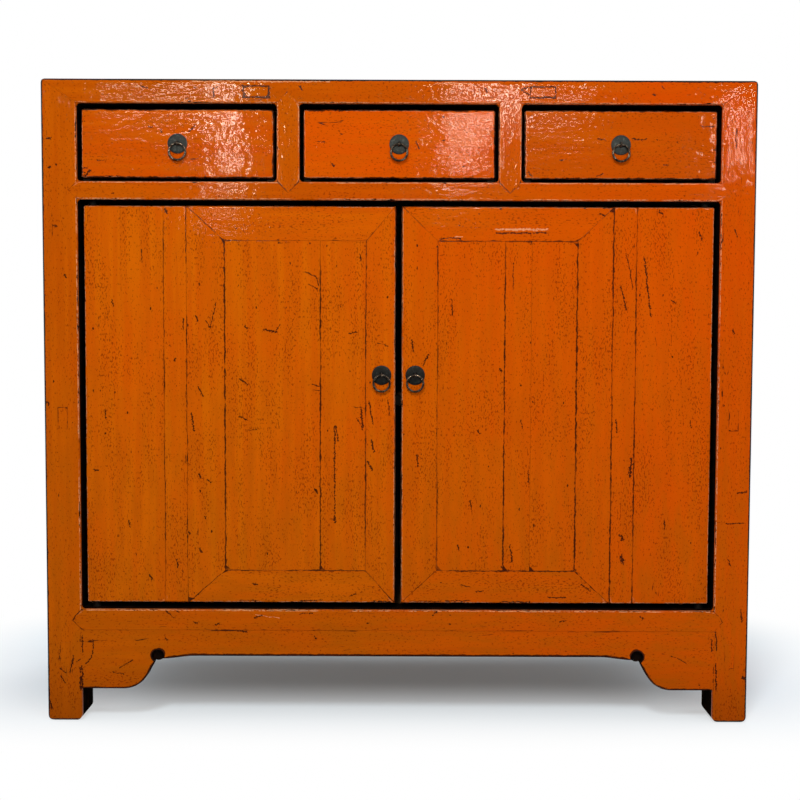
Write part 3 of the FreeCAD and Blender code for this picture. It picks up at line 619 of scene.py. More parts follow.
# Scratches, pale chipped places and one painted highlight seen on single pieces: two ends in picture
# pixels and a half width in millimetres
tenon_marks = {
    "left": (
        (243.4, 86.4, 268.6, 86.2, 0.8), (243.6, 97.2, 268.4, 97.2, 0.8),
        (243.4, 86.4, 243.6, 97.2, 1.3), (268.6, 86.2, 268.4, 97.2, 1.2),
    ),
    "right": (
        (529.8, 87.2, 556.0, 87.0, 0.7), (529.8, 97.4, 556.0, 97.4, 0.8),
        (556.0, 87.0, 556.0, 97.4, 0.6),
    ),
}
cut_marks = {
    "post_front_left": (
        (46, 138, 51, 138, 0.9), (49, 167, 50, 167, 1.0), (55, 164, 56, 165, 0.9),
        (52, 225, 56, 226, 0.7), (64, 275, 66, 278, 0.8), (47, 402, 48, 405, 0.9),
        (60, 645, 68, 646, 0.6), (60, 668, 66, 673, 0.6), (76, 662, 80, 659, 0.6),
        (61, 676, 66, 684, 0.6), (50, 700, 52, 708, 0.8), (80.9, 632, 80.9, 641, 0.8),
        (80.9, 647, 80.9, 653, 0.7), (80.9, 668, 80.9, 690, 1.0), (60, 646, 60, 660, 0.5),
        (74, 656, 70, 672, 0.7),
    ),
    "post_front_right": (
        (737, 493, 747, 492, 0.8), (726, 524, 744, 523, 0.6), (743, 677, 745, 679, 1.4),
        (735, 230, 737, 236, 0.7), (728, 560, 730, 566, 0.7), (741, 610, 742, 622, 0.6),
        (733, 330, 734, 334, 0.7), (716.2, 632, 716.2, 650, 0.7), (716.2, 664, 716.2, 690, 0.8),
    ),
    "head_rail_front": (
        (141, 86, 147, 88, 0.8), (213.6, 88, 213.6, 96, 0.8), (189, 101, 191, 101, 0.9),
        (284, 96, 287, 93, 0.8), (300, 86, 302, 90, 0.9), (485, 88, 487, 92, 0.8),
        (662, 87, 664, 88, 0.8), (653, 94, 655, 95, 0.8), (521.7, 90, 528, 87, 0.9),
        (521.7, 90, 528, 94, 0.9), *tenon_marks["left"], *tenon_marks["right"],
    ),
    "top_batten_tenon_front_left": tenon_marks["left"],
    "top_batten_tenon_front_right": tenon_marks["right"],
    "sill_rail": (
        (176, 611, 179, 612, 0.8), (194, 622, 197, 624, 0.8), (216, 625, 219, 624, 0.9),
        (255, 618, 262, 616, 0.7), (300, 614, 312, 613, 0.6), (433, 615, 437, 613, 0.8),
        (560, 622, 566, 621, 0.7), (640, 617, 643, 619, 0.8), (166, 611, 174, 618, 0.5),
    ),
    "skirt_board": (
        (93, 640, 93, 654, 0.6), (166, 639, 167, 640, 0.9), (120, 668, 132, 660, 0.6),
        (112, 672, 124, 674, 0.5), (237, 631, 247, 632, 0.7), (314, 636, 316, 639, 0.7),
        (711, 640, 712, 652, 0.6), (86, 664, 92, 656, 0.6), (672, 656, 686, 663, 0.5),
        (82.4, 636, 82.4, 652, 0.7), (82.4, 666, 82.2, 690, 0.9), (714.2, 636, 714.2, 650, 0.6),
        (714.2, 668, 714.2, 690, 0.8),
    ),
    "door_left_panel_board_1": (
        (334.7, 426, 334.5, 470, 0.7), (334.5, 470, 334.7, 519, 0.6), (334.5, 518, 335, 522, 1.2),
        (349, 333, 357, 332.5, 0.6), (360, 255, 361, 260, 0.9), (352, 407, 372, 409, 0.4),
        (361, 408, 363, 428, 0.9), (357, 418, 363, 430, 0.5), (336, 426, 338, 441, 0.7),
    ),
    "door_left_panel_board_2": (
        (305, 272, 316, 276, 0.6), (316, 276, 319, 286, 0.6), (308, 284, 318, 289, 0.5),
        (264, 329.5, 276, 332, 0.9), (276, 331, 280, 325, 0.6), (240, 379, 247, 384.5, 0.7),
        (239, 417, 247, 420, 0.6), (247, 430, 256, 430, 0.4), (245.5, 327, 246.5, 328, 1.0),
        (315, 489, 317, 493, 1.0), (312, 384, 322, 387, 0.5), (313, 389, 320, 391, 0.5),
    ),
    "door_left_middle_stile": (
        (191.5, 414, 194, 430, 1.0), (198, 386, 203, 396, 0.6), (216, 303, 210, 328, 0.5),
        (206, 320, 210, 328, 0.5), (196, 316, 197.5, 321, 0.8), (199, 474, 201, 479, 0.9),
        (205, 516, 206, 519, 0.9), (200, 549, 202, 552, 0.9), (188, 531, 190, 534, 0.8),
        (208, 480, 210, 482, 0.8),
    ),
    "door_left_wide_plank": (
        (94, 470, 99, 470, 0.7), (112, 300, 113, 306, 0.7), (141, 250, 142, 262, 0.6),
        (129, 520, 130, 527, 0.7), (150, 575, 152, 579, 0.9), (105, 410, 106, 418, 0.6),
    ),
    "door_left_narrow_plank": (
        (165, 209, 167, 213, 1.1), (174, 361, 176, 358, 0.6), (183, 318, 183, 330, 0.5),
        (177, 560, 178, 567, 0.7),
    ),
    "door_left_inner_stile": (
        (369, 402, 373, 425, 0.7), (371, 440, 374, 452, 0.8), (368, 462, 372, 470, 0.9),
        (388, 400, 390, 415, 0.5), (378, 343, 388, 346, 0.6),
    ),
    "door_left_sill_rail": (
        (190, 602, 212, 580, 0.5), (214, 574, 226, 570, 0.5), (240, 600, 258, 601, 0.5),
        (273, 567, 280, 568, 0.6), (254, 584, 257, 585, 0.9), (300, 601, 322, 600, 0.5),
        (350, 596, 356, 594, 0.6), (372, 601, 390, 602, 0.6),
    ),
    "door_right_head_rail": (
        (497, 233, 548, 233, 0.8), (453, 238, 460, 239, 1.0), (440, 239, 452, 238, 0.5),
        (600, 214, 604, 216, 0.7),
    ),
    "door_right_sill_rail": (
        (404, 600, 416, 586, 0.6), (409, 601, 440, 601.5, 0.5), (446, 601, 470, 600.5, 0.6),
        (476, 592, 483, 591, 0.6), (581, 584, 590, 591, 0.6), (548, 597, 566, 598, 0.5),
        (500, 602, 530, 602, 0.5), (460, 585, 470, 587, 0.4),
    ),
    "door_right_inner_stile": (
        (428, 355, 423, 366, 0.8), (412, 340, 413, 352, 0.6), (417, 455, 418, 466, 0.7),
    ),
    "door_right_panel_board_1": (
        (500, 369, 501.5, 371, 1.0), (478.5, 431, 479.5, 433, 1.0), (452, 300, 452.5, 316, 0.5),
        (470, 500, 471, 509, 0.6), (458, 545, 459, 551, 0.7),
    ),
    "door_right_panel_board_2": (
        (513, 262, 513.5, 290, 0.4), (528, 470, 528.5, 482, 0.6), (521, 420, 522, 428, 0.6),
        (510, 545, 512, 562, 0.8),
    ),
    "door_right_narrow_plank": (
        (621, 286, 626, 310, 0.8), (626, 254, 630, 270, 0.5), (630, 270, 633, 289, 0.5),
        (631, 459, 630, 476, 1.3), (621, 536, 622, 539, 1.6), (621, 556, 623, 563, 1.5),
        (616, 420, 617, 432, 0.6),
    ),
    "door_right_wide_plank": (
        (644, 257, 648, 290, 0.7), (648, 290, 651, 317, 0.7), (660, 212, 663, 214, 0.9),
        (672, 300, 676, 304, 0.6), (690, 420, 691, 428, 0.6), (664, 520, 665, 530, 0.6),
        (699, 232, 702, 240, 0.7),
    ),
    "drawer_left_face": (
        (81, 168, 87, 168, 0.6), (81, 172, 86, 172.5, 0.6), (81.5, 116, 85, 116, 0.6),
        (81.5, 121, 84, 121, 0.5), (97, 160, 104, 160, 0.5), (148, 127, 152, 127, 0.6),
        (160, 130, 161, 132, 0.8), (195, 125, 189, 132, 0.6), (84, 176, 90, 171, 0.9),
        (117, 176, 119, 177, 0.9),
    ),
    "drawer_middle_face": (
        (318, 142, 325, 142, 0.5), (340, 133, 342, 134, 0.7), (332, 164, 334, 166, 0.8),
        (416, 141, 419, 148, 0.6),
    ),
    "drawer_right_face": (
        (714, 118, 717, 118, 0.6), (714, 150, 717, 151, 0.6), (528, 172, 532, 176, 0.7),
        (714, 162, 717, 162, 0.5), (598, 139, 606, 140, 0.6), (632, 139, 646, 140, 0.6),
        (597, 176, 603, 174, 0.6), (664, 165, 668, 166, 0.6), (560, 160, 566, 160, 0.5),
        (700, 126, 714, 127, 0.5),
    ),
}
chip_and_highlight_marks = {
    "sill_rail": (
        (215, 609, 250, 609.5, 0.6), (277, 609, 297, 609.5, 0.6), (385, 609, 405, 609.5, 0.6),
        (255, 615, 280, 618, 0.3), (520, 610, 545, 610, 0.4),
    ),
    "head_rail_front": ((190, 81, 330, 81.5, 0.5), (436, 83, 470, 83, 0.4)),
    # painted highlight: the first line on the right door's head rail is the glint on a dent
    "door_right_head_rail": ((497, 229.5, 548, 229.5, 0.9), (455, 236.5, 462, 237, 0.5)),
}

black_paint = dark_paint("black_paint")
inside_wood = bare_wood("inside_wood", True, srgb(168, 120, 76), srgb(116, 76, 44))
shelf_wood = bare_wood("shelf_wood", False, srgb(160, 114, 72), srgb(112, 74, 44))
plate_iron = {
    "drawer": iron("drawer_plate_iron", srgb(42, 49, 48), srgb(80, 87, 84), 0.50, 0.72, 0.3, 0.46),
    "door": iron("door_plate_iron", srgb(23, 26, 25), srgb(50, 54, 52), 0.50, 0.74, 0.3, 0.46),
}
ring_iron = iron("ring_iron", srgb(60, 50, 42), srgb(160, 148, 130), 0.44, 0.68, 0.8, 0.3)
lacquered = (plain_lacquer["frame"], inside_wood)
unfinished = (inside_wood,)


def finished(piece, label="frame"):
    """Materials of a lacquered piece: its own lacquer where it carries marks, else the plain one, and
    the wood of its back."""
    if piece not in cut_marks:
        return plain_lacquer[label], inside_wood
    marked = lacquer(f"{piece}_lacquer", finishes[label], cut_marks[piece], chip_and_highlight_marks.get(piece, ()))
    return marked, inside_wood


# Meshes

def seed_of(name):
    """Steady seed from a piece's name."""
    return zlib.crc32(name.encode())


def add_piece(name, points, cells, materials, body, node,
              grain=None, fields=None, finish=None, caps=()):
    """Mesh object from arrays of points and four-cornered cells, riding on its body in place of a node.

    Grain gives the map coordinates of every cell corner, fields the values kept at the points, and finish
    the number of the material of every cell. Caps are further cells with any number of corners."""
    corners = np.concatenate([cells.ravel(), *caps])
    sizes = np.array([4] * len(cells) + [len(cap) for cap in caps])
    mesh = bpy.data.meshes.new(name)
    mesh.vertices.add(len(points))
    mesh.vertices.foreach_set("co", points.astype(np.float32).ravel())
    mesh.loops.add(len(corners))
    mesh.loops.foreach_set("vertex_index", corners.astype(np.int32))
    mesh.polygons.add(len(sizes))
    mesh.polygons.foreach_set("loop_start", (np.cumsum(sizes) - sizes).astype(np.int32))
    if finish is not None:
        mesh.polygons.foreach_set("material_index", finish.astype(np.int32))
    mesh.update(calc_edges=True)
    mesh.shade_smooth()
    if grain is not None:
        mesh.uv_layers.new(name="grain").uv.foreach_set("vector", grain.astype(np.float32).ravel())
    for label, values in (fields or {}).items():
        layer = mesh.attributes.new(label, "FLOAT", "POINT")
        layer.data.foreach_set("value", values.astype(np.float32).ravel())
    for material in materials:
        mesh.materials.append(material)
    made = bpy.data.objects.new(name, mesh)
    bpy.context.scene.collection.objects.link(made)
    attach(made, body)
    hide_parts(node)


def grid_points(x, y, z):
    """Points of a grid from its coordinates, each given by rows, by columns or for every point."""
    return np.stack(np.broadcast_arrays(x, y, z), axis=-1).reshape(-1, 3)


def full_turn(count):
    """Equal angles all round."""
    return np.linspace(0, 2 * np.pi, count, endpoint=False)


def ring_cells(rows, columns, closed=False):
    """Cells of a grid that is joined round its columns, and round its rows as well where it is closed."""
    number = np.arange(rows * columns).reshape(rows, columns)
    below = np.roll(number, -1, axis=0)
    if not closed:
        number, below = number[:-1], below[:-1]
    ring = [number, np.roll(number, -1, axis=1), np.roll(below, -1, axis=1), below]
    return np.stack(ring, axis=-1).reshape(-1, 4)


def capped_cells(rows, columns):
    """Cells of an open grid of rings, with a strip of cells across the first and the last ring."""
    first = np.arange(columns)
    last = first + (rows - 1) * columns
    half = np.arange(columns // 2 - 1)
    caps = [
        np.stack([ring[half], ring[columns - 1 - half], ring[columns - 2 - half], ring[half + 1]], axis=-1)
        for ring in (first, last)
    ]
    return np.concatenate([ring_cells(rows, columns), caps[0], caps[1][:, ::-1]])


def edge_lines(length, near, far, step, extra=()):
    """Lattice places along one edge: even steps between the rounded ends, and in each end the places
    r(1 - tan a) for equal angles a, which give every arc even facets."""
    turn = np.tan(np.radians([45.0, 30.0, 15.0, 0.0]))
    margin = 1.5
    first, last = near * margin, length - far * margin
    count = max(1, math.ceil((last - first) / step / 2)) * 2
    inner = np.linspace(first, last, count + 1)
    lines = [near * (1 - turn), inner, length - far * (1 - turn), np.asarray(extra, float)]
    return np.unique(np.round(np.concatenate(lines), 7))


def shell_cells(counts):
    """Corner numbers of the cells on a lattice's six faces, wound outwards, and the face of each cell."""
    number = np.arange(np.prod(counts)).reshape(counts)
    cells, faces = [], []
    for axis in range(3):
        for end in (0, -1):
            sheet = np.take(number, end, axis=axis)
            ring = np.stack([sheet[:-1, :-1], sheet[1:, :-1], sheet[1:, 1:], sheet[:-1, 1:]], axis=-1)
            ring = ring.reshape(-1, 4)
            outward = (end == -1) != (axis == 1)
            cells.append(ring if outward else ring[:, ::-1])
            faces.append(np.full(len(ring), 2 * axis + (end == -1)))
    return np.concatenate(cells), np.concatenate(faces)


def rounded_block(spans, rounds, step, extra):
    """Closed shell of a block with rounded arrises.

    Lattice points on the six faces are drawn in to a core block that is smaller by the rounding, then
    pushed out from it again by the rounding, which makes quarter rounds of the edges."""
    lines = [edge_lines(spans[k], *rounds[k], step, extra.get(k, ())) for k in range(3)]
    grid = np.stack(np.meshgrid(*lines, indexing="ij"), axis=-1)
    cells, faces = shell_cells(grid.shape[:3])
    used, cells = np.unique(cells, return_inverse=True)
    flat = grid.reshape(-1, 3)[used]
    near, far = np.array(rounds).T
    core = np.clip(flat, near, spans - far)
    radius = np.where(flat < core, near, far)
    reach = (flat - core) / radius
    reach /= np.linalg.norm(reach, axis=1, keepdims=True)
    normals = reach / radius
    normals /= np.linalg.norm(normals, axis=1, keepdims=True)
    turn = np.where(np.abs(reach) > 0.05, radius, np.inf).min(axis=1)
    return flat, core + reach * radius, normals, turn, cells.reshape(-1, 4), faces


def waves(along, across, seed, longest, shortest):
    """Uneven surface between 0 and 1: a sum of sines of random direction, length and phase."""
    draw = np.random.default_rng(seed)
    count = 16
    length = np.geomspace(longest, shortest, count)
    turn = draw.uniform(0, 2 * np.pi, (2, count))
    weight = (length / longest) ** 0.8
    phase = np.outer(along, np.cos(turn[0]) / length) + np.outer(across, np.sin(turn[0]) / length)
    field = np.sin(2 * np.pi * phase + turn[1]) @ weight
    return 0.5 + 0.5 * field / weight.sum()


def onto_circle(first, second, radius):
    """Offsets from a circle's centre: those of a corner past the circle are drawn in to it."""
    offset = np.stack([first, second], axis=1)
    distance = np.linalg.norm(offset, axis=1)
    past = (offset > 0).all(axis=1) & (distance > radius)
    return (offset * np.where(past, radius / np.maximum(distance, radius), 1)[:, None]).T


def round_corners(plan, spans, end, radius):
    """Both corners at one end of a board drawn onto circles, seen square to the show face."""
    along, across = plan.T
    near_low = across < spans[1] / 2
    to_end = along if end == 0 else spans[0] - along
    to_side = np.where(near_low, across, spans[1] - across)
    end_offset, side_offset = onto_circle(radius - to_end, radius - to_side, radius)
    to_end, to_side = radius - end_offset, radius - side_offset
    along = to_end if end == 0 else spans[0] - to_end
    return np.stack([along, np.where(near_low, to_side, spans[1] - to_side)], axis=1)


def round_foot(points, spans):
    """Lower corner at the back of a leg drawn onto a circle, seen from the side."""
    centre = spans[2] - foot_back_round
    below, behind = onto_circle(foot_back_round - points[:, 0], points[:, 2] - centre, foot_back_round)
    points[:, 0] = foot_back_round - below
    points[:, 2] = centre + behind
    return points


def round_top_corners(place):
    """The cabinet's outer top corners drawn onto circles, seen from the front."""
    centre_x, centre_z = half_width - corner_round, top_high - corner_round
    outward, upward = onto_circle(np.abs(place[:, 0]) - centre_x, place[:, 2] - centre_z, corner_round)
    place[:, 0] = np.sign(place[:, 0]) * (centre_x + outward)
    place[:, 2] = centre_z + upward


def grain_map(cells, faces, local, seed):
    """Map of every cell corner: along the grain and round the section, shifted by a random amount."""
    along, across, depth = (local[:, k][cells] for k in range(3))
    side = faces[:, None]
    low, high = local[:, 1].min(), local[:, 1].max()
    first, last = local[:, 0].min(), local[:, 0].max()
    u = np.where(side == 0, first - depth, np.where(side == 1, last + depth, along))
    v = np.where(side == 2, low - depth, np.where(side == 3, high + depth, across))
    v = np.where(side == 5, high + depth + (high - across), v)
    shift = np.random.default_rng(seed).uniform(0, 8, 2)
    return np.stack([u + shift[0], v + shift[1]], axis=-1)


def direction(text):
    """Axis number and sign of a direction such as -y."""
    return axis_number[text[1]], 1 if text[0] == "+" else -1


def board(name, box, grain, face, node, materials=lacquered, body="carcass", rounds=seam_round, ends=None,
          seams=plain_seam, dark="", paint_depth=frame_paint_depth, corners=(0, 0), step=show_step,
          sink=0.0, wave=wave_height, extra=None, reshape=None, rim_from=0.0, inside_from=None,
          top_corners=False):
    """One board as a closed shell.

    Its length runs along the grain axis and its show face looks along the face direction, such as -y.
    Rounds are one size, or (start, stop), (low, high), (face, back). Ends gives where the length starts
    and stops for each place across and each depth below the show face. Seams is the strength of the dark
    line along all sides, or along start, stop, low and high side. Dark lists the faces that are painted
    black from the paint depth on. Corners are the radii of the show face's corners at its start and stop.
    Rim wear begins at a distance from the start. The back's finish also covers the sides deeper than
    inside_from. Waves and worn arrises only ever take material away."""
    low, high = box
    along_axis = axis_number[grain]
    face_axis, face_sign = direction(face)
    across_axis = 3 - along_axis - face_axis
    order = [along_axis, across_axis, face_axis]
    spans = (high - low)[order]
    pairs = ((rounds, rounds),) * 3 if np.isscalar(rounds) else rounds
    lines = dict(extra or {})
    if dark:
        lines[2] = (*lines.get(2, ()), paint_depth, paint_depth + paint_edge)
    if inside_from is not None:
        lines[2] = (*lines.get(2, ()), inside_from)
    flat, points, normals, turn, cells, faces = rounded_block(spans, pairs, step, lines)

    seed = seed_of(name)
    arris = np.clip((1 - np.abs(normals).max(axis=1)) / (1 - math.sqrt(0.5)), 0, 1)
    edge = np.sort(np.minimum(flat, spans - flat), axis=1)[:, 1]
    sides = np.stack([flat[:, 0], spans[0] - flat[:, 0], flat[:, 1], spans[1] - flat[:, 1]])
    nearest = sides.argmin(axis=0)
    seam = np.broadcast_to(np.asarray(seams, float), 4)[nearest]
    rim = (np.ravel(pairs[:2])[nearest] > opening_round / 2) & (flat[:, 0] >= rim_from)
    loss = wave * waves(flat[:, 0], flat[:, 1] + flat[:, 2], seed, *wave_lengths)
    smallest = min(min(pair) for pair in pairs)
    nick = waves(flat[:, 0] + flat[:, 1], flat[:, 2], seed + 1, *nick_lengths)
    loss += min(arris_loss, 0.5 * smallest) * arris * np.clip(nick * nick_gain - nick_floor, 0, 1)
    points = points - normals * loss[:, None]
    points[:, 2] += sink * np.clip(1 - points[:, 2] / spans[2], 0, 1)
    if reshape is not None:
        points = reshape(points, spans)
    for end, radius in enumerate(corners):
        if radius:
            points[:, :2] = round_corners(points[:, :2], spans[:2], end, radius)

    across = low[across_axis] + points[:, 1]
    depth = points[:, 2]
    along = low[along_axis] + points[:, 0]
    if ends is not None:
        start, stop = ends(across, depth)
        along = start + (stop - start) * points[:, 0] / spans[0]
    place = np.empty_like(points)
    place[:, along_axis] = along
    place[:, across_axis] = across
    place[:, face_axis] = (high if face_sign > 0 else low)[face_axis] - face_sign * depth

    outward = np.zeros_like(normals)
    outward[:, order] = normals * (1, 1, -face_sign)
    turned = np.zeros((3, 3))
    turned[order, range(3)] = (1, 1, -face_sign)
    if np.linalg.det(turned) < 0:
        cells = cells[:, ::-1]
    shallowest = depth[cells].min(axis=1)
    inside = faces == 5
    if inside_from is not None:
        inside |= shallowest > inside_from - wave
    finish = inside * (len(materials) - 1)
    painted = np.zeros(len(points))
    dark_sides = [direction(text) for text in dark.split()]
    for axis, sign in dark_sides:
        behind = 1 if axis == face_axis else np.clip((depth - paint_depth) / paint_edge, 0, 1)
        painted = np.maximum(painted, np.clip(outward[:, axis] * sign, 0, 1) ** 2 * behind)
    if dark:
        sides = [2 * order.index(axis) + (sign > 0) for axis, sign in dark_sides]
        finish[np.isin(faces, sides) & (shallowest > paint_depth + 0.9 * paint_edge)] = len(materials)
        materials = (*materials, black_paint)
    arris = arris * np.clip((turn - least_worn_round) / (fully_worn_round - least_worn_round), 0, 1)
    level = np.clip(2 * outward[:, 2] - 1, 0, 1)
    fields = {"edge": edge, "seam": seam, "arris": arris, "rim": rim, "dark": painted, "level": level}
    local = np.stack([along, across, depth], axis=1)
    if top_corners:
        round_top_corners(place)
    mapped = grain_map(cells, faces, local, seed)
    add_piece(name, place, cells, materials, body, node, mapped, fields, finish)


# Frame of the cabinet

def make_leg(side, place):
    """Leg whose head is a share of the three-way mitre: it rises by the lesser of two outward shares."""
    node, piece = f"leg_{place}_{side}", f"post_{place}_{side}"
    low, high = limits(node)
    width, thickness, length = high - low

    def ends(across, depth):
        outward = np.clip((np.abs(across) - inner_x) / leg_width, 0, 1)
        forward = np.clip(1 - depth / leg_depth, 0, 1)
        return np.zeros_like(across), top_low + top_height * np.minimum(outward, forward)

    across_round = from_left(side, outer_round, opening_round)
    board(
        piece, (low, high), "z", facing[place], node, finished(piece)[:1],
        rounds=((foot_round, seam_round), across_round, (outer_round, opening_round)), ends=ends,
        dark=inward[side] + " -z", sink=leg_sink, seams=(0, frame_seam, 0, 0), corners=(foot_corner, 0),
        reshape=round_foot, rim_from=sill_top, top_corners=True,
        extra={0: (*foot_lines, *(length - corner_lines)), 1: (*foot_lines, *(width - foot_lines)),
               2: thickness - foot_lines},
    )


def make_top_rail(place):
    """Top rail; past the legs' inner faces it tapers to the outer corner."""
    node, piece = f"top_rail_{place}", f"head_rail_{place}"
    low, high = limits(node)
    is_long = place not in side_sign
    start, reach, fall = (inner_x, leg_width, leg_depth) if is_long else (inner_y, leg_depth, leg_width)

    def ends(across, depth):
        rise = np.clip((across - top_low) / top_height, 0, 1)
        outward = np.clip(1 - depth / fall, 0, 1)
        stop = start + reach * np.minimum(rise, outward)
        return -stop, stop

    lines = {0: (*corner_lines, *(high[0] - low[0] - corner_lines)), 1: top_height - corner_lines}
    board(
        piece, (low, high), "x" if is_long else "y", facing[place], node, finished(piece),
        rounds=((seam_round, seam_round), (opening_round, outer_round), (outer_round, seam_round)),
        ends=ends, dark="-z" if is_long else "", sink=leg_sink, seams=(frame_seam, frame_seam, 0, 0),
        extra=lines if is_long else None, top_corners=True,
    )


def make_pointed(piece, node, grain, span, dark, seams, wave, low_round=opening_round):
    """Front rail or drawer post whose ends run out to a square point over the front few millimetres."""
    box = limits_within(node, **{grain: span})
    low, high = (corner[2 - axis_number[grain]] for corner in box)
    middle, half = (low + high) / 2, (high - low) / 2

    def ends(across, depth):
        rise = np.clip(half - np.abs(across - middle), 0, half) * (depth < point_depth)
        return span[0] - rise, span[1] + rise

    board(
        piece, box, grain, "-y", node, finished(piece),
        rounds=((seam_round, seam_round), (low_round, opening_round), (opening_round, seam_round)),
        ends=ends, dark=dark, wave=wave, seams=seams,
        extra={2: (point_depth, point_depth + point_end)},
    )


def strips(low, high, count):
    """Limits of equal strips between two places; each laps over the next, so no light comes through."""
    places = np.linspace(low, high, count + 1)
    return list(zip(places[:-1], np.minimum(places[1:] + board_lap, high)))


def make_tenon_ends(label, side, node, x_span, z_span, grain, seams):
    """Ends of a through tenon, flush with the front and the rear of the cabinet."""
    depths = {"front": (front_y, front_y + tenon_show_depth), "rear": (rear_y - tenon_show_depth, rear_y)}
    for place, y_span in depths.items():
        piece = f"{label}_{place}_{side}"
        board(piece, limits_within(node, x=x_span, y=y_span, z=z_span), grain, facing[place], node,
              finished(piece), wave=rail_wave, step=tenon_step, seams=seams, dark="-x +x -z +z",
              paint_depth=tenon_paint_depth)


def make_side(side):
    """Side rails with their tenon ends on the legs, and the boards of the side panels."""
    rails, panels = f"side_rails_{side}", f"side_panel_boards_{side}"
    bottom = limits(rails)[0][2]
    centre = side_sign[side] * (half_width - side_tenon_inset)
    tenon_x = (centre - side_tenon_width / 2, centre + side_tenon_width / 2)
    heights = {"middle": side_middle_rail, "bottom": (bottom, bottom + side_bottom_rail_height)}
    for label, (z_low, z_high) in heights.items():
        box = limits_within(rails, y=(-inner_y, inner_y), z=(z_low, z_high))
        board(f"side_{label}_rail_{side}", box, "y", facing[side], rails, sink=leg_sink)
        make_tenon_ends(f"side_{label}_tenon", side, rails, tenon_x,
                        (z_low + side_tenon_shoulder, z_high - side_tenon_shoulder), "z", side_tenon_seam)
    low, high = limits(panels)
    middle_low, middle_high = side_middle_rail
    splits = {"lower": (low[2], middle_low + panel_groove), "upper": (middle_high - panel_groove, high[2])}
    for label, z_span in splits.items():
        for place, y_span in zip(("front", "rear"), strips(low[1], high[1], 2)):
            board(f"side_{label}_panel_{place}_{side}", limits_within(panels, y=y_span, z=z_span), "z",
                  facing[side], panels, step=panel_step)


def make_top():
    """Boards of the top, and the cross battens with their tenon ends on the long rails."""
    for number, y_span in enumerate(strips(-inner_y, inner_y, 3)):
        box = limits_within("top_boards", x=(-inner_x, inner_x), y=y_span)
        board(f"top_board_{number + 1}", box, "x", "+z", "top_boards", step=top_step, sink=leg_sink)
    low, high = limits("top_battens")
    for side, sign in side_sign.items():
        edge = high[0] if sign > 0 else low[0] + batten_width
        x_span = (edge - batten_width, edge)
        box = limits_within("top_battens", x=x_span, y=(-inner_y, inner_y))
        board(f"top_batten_{side}", box, "y", "-z", "top_battens", unfinished, rounds=wood_round,
              step=inside_step)
        make_tenon_ends("top_batten_tenon", side, "top_battens", x_span,
                        (high[2] - batten_tenon_height, high[2]), "x", batten_tenon_seam)


def make_back():
    """Rear rails and the upright boards of the back."""
    for label, z_span in (("middle", (waist_low, waist_high)), ("bottom", (sill_low, sill_top))):
        box = limits_within("rear_rails", x=(-inner_x, inner_x), z=z_span)
        board(f"rear_{label}_rail", box, "x", "+y", "rear_rails")
    low, high = limits("back_boards")
    heights = {"lower": (low[2], waist_low + panel_groove), "upper": (waist_high - panel_groove, high[2])}
    for label, z_span in heights.items():
        for number, x_span in enumerate(strips(low[0], high[0], 4)):
            box = limits_within("back_boards", x=x_span, z=z_span)
            board(f"back_{label}_board_{number + 1}", box, "z", "+y", "back_boards", unfinished,
                  rounds=wood_round, step=panel_step)


# Apron

apron_low, apron_high = limits("apron_front")
spandrel_drop = 47.5 * mm
notch_inset = 108 * mm
notch_radius = 8.5 * mm
notch_border = 2.7 * mm
spandrel_border = 1.8 * mm
corner_reach = 7 * mm
sharp_cosine = 0.5
least_room = 0.4
least_opening = 0.6
apron_edge = apron_low[2] + spandrel_drop
apron_end = inner_x + opening_round
notch_x = inner_x - notch_inset


def apron_outline(bottom, foot):
    """Right half of the lower outline from the middle to the leg, as (x, z) points.

    A straight edge dips to a lip beside a round notch, then a slanting flank leads through an arc to the
    flat foot of the spandrel. Points keep their distance from sharp corners, so that the outline can be
    drawn in by the width of the rounded arris."""
    radius, lip_drop, lip_length, turn = 39 * mm, 4 * mm, 45 * mm, math.radians(62)
    entry = math.pi + math.asin(lip_drop / notch_radius)
    lip_x = notch_x + notch_radius * math.cos(entry)
    straight = np.linspace([0, bottom], [lip_x - lip_length, bottom], 40)
    share = np.linspace(0, 1, 12)[1:, None]
    ease = share * share * (3 - 2 * share)
    lip = np.hstack([lip_x - lip_length * (1 - share), bottom - lip_drop * ease])
    angle = np.linspace(entry, -turn, 20)[1:]
    round_notch = notch_radius * np.stack([np.cos(angle), np.sin(angle)], axis=1)
    hole = (notch_x, bottom) + round_notch
    rise = radius * (1 - math.cos(turn))
    run = (bottom - foot - rise) / math.tan(turn)
    flank = np.linspace(hole[-1], [notch_x + run, foot + rise], 6)[1:]
    flat_x = notch_x + run + radius * math.sin(turn)
    bend = np.linspace(turn, 0, 14)[1:]
    arc = np.stack([flat_x - radius * np.sin(bend), foot + radius * (1 - np.cos(bend))], axis=1)
    flat = np.linspace([flat_x, foot], [apron_end, foot], 10)[1:]
    return np.concatenate([straight, lip, hole, flank, arc, flat])


def inset_ring(outline, distance):
    """Closed outline moved to its inner side, each corner along the line that halves it."""
    before = outline - np.roll(outline, 1, axis=0)
    after = np.roll(outline, -1, axis=0) - outline
    left = [np.stack([-step[:, 1], step[:, 0]], axis=1) for step in (before, after)]
    left = [line / np.linalg.norm(line, axis=1, keepdims=True) for line in left]
    middle = left[0] + left[1]
    reach = 2 / np.maximum((middle ** 2).sum(axis=1, keepdims=True), least_opening)
    return outline + middle * reach * distance[:, None]


def corner_room(outline):
    """Share of an inset that fits at each point: it shrinks close to the sharp corners."""
    before = outline - np.roll(outline, 1, axis=0)
    after = np.roll(outline, -1, axis=0) - outline
    cosine = (before * after).sum(axis=1) / np.linalg.norm(before, axis=1) / np.linalg.norm(after, axis=1)
    sharp = outline[cosine < sharp_cosine]
    distance = np.linalg.norm(outline[:, None] - sharp[None], axis=2).min(axis=1)
    return np.clip(distance / corner_reach, least_room, 1)


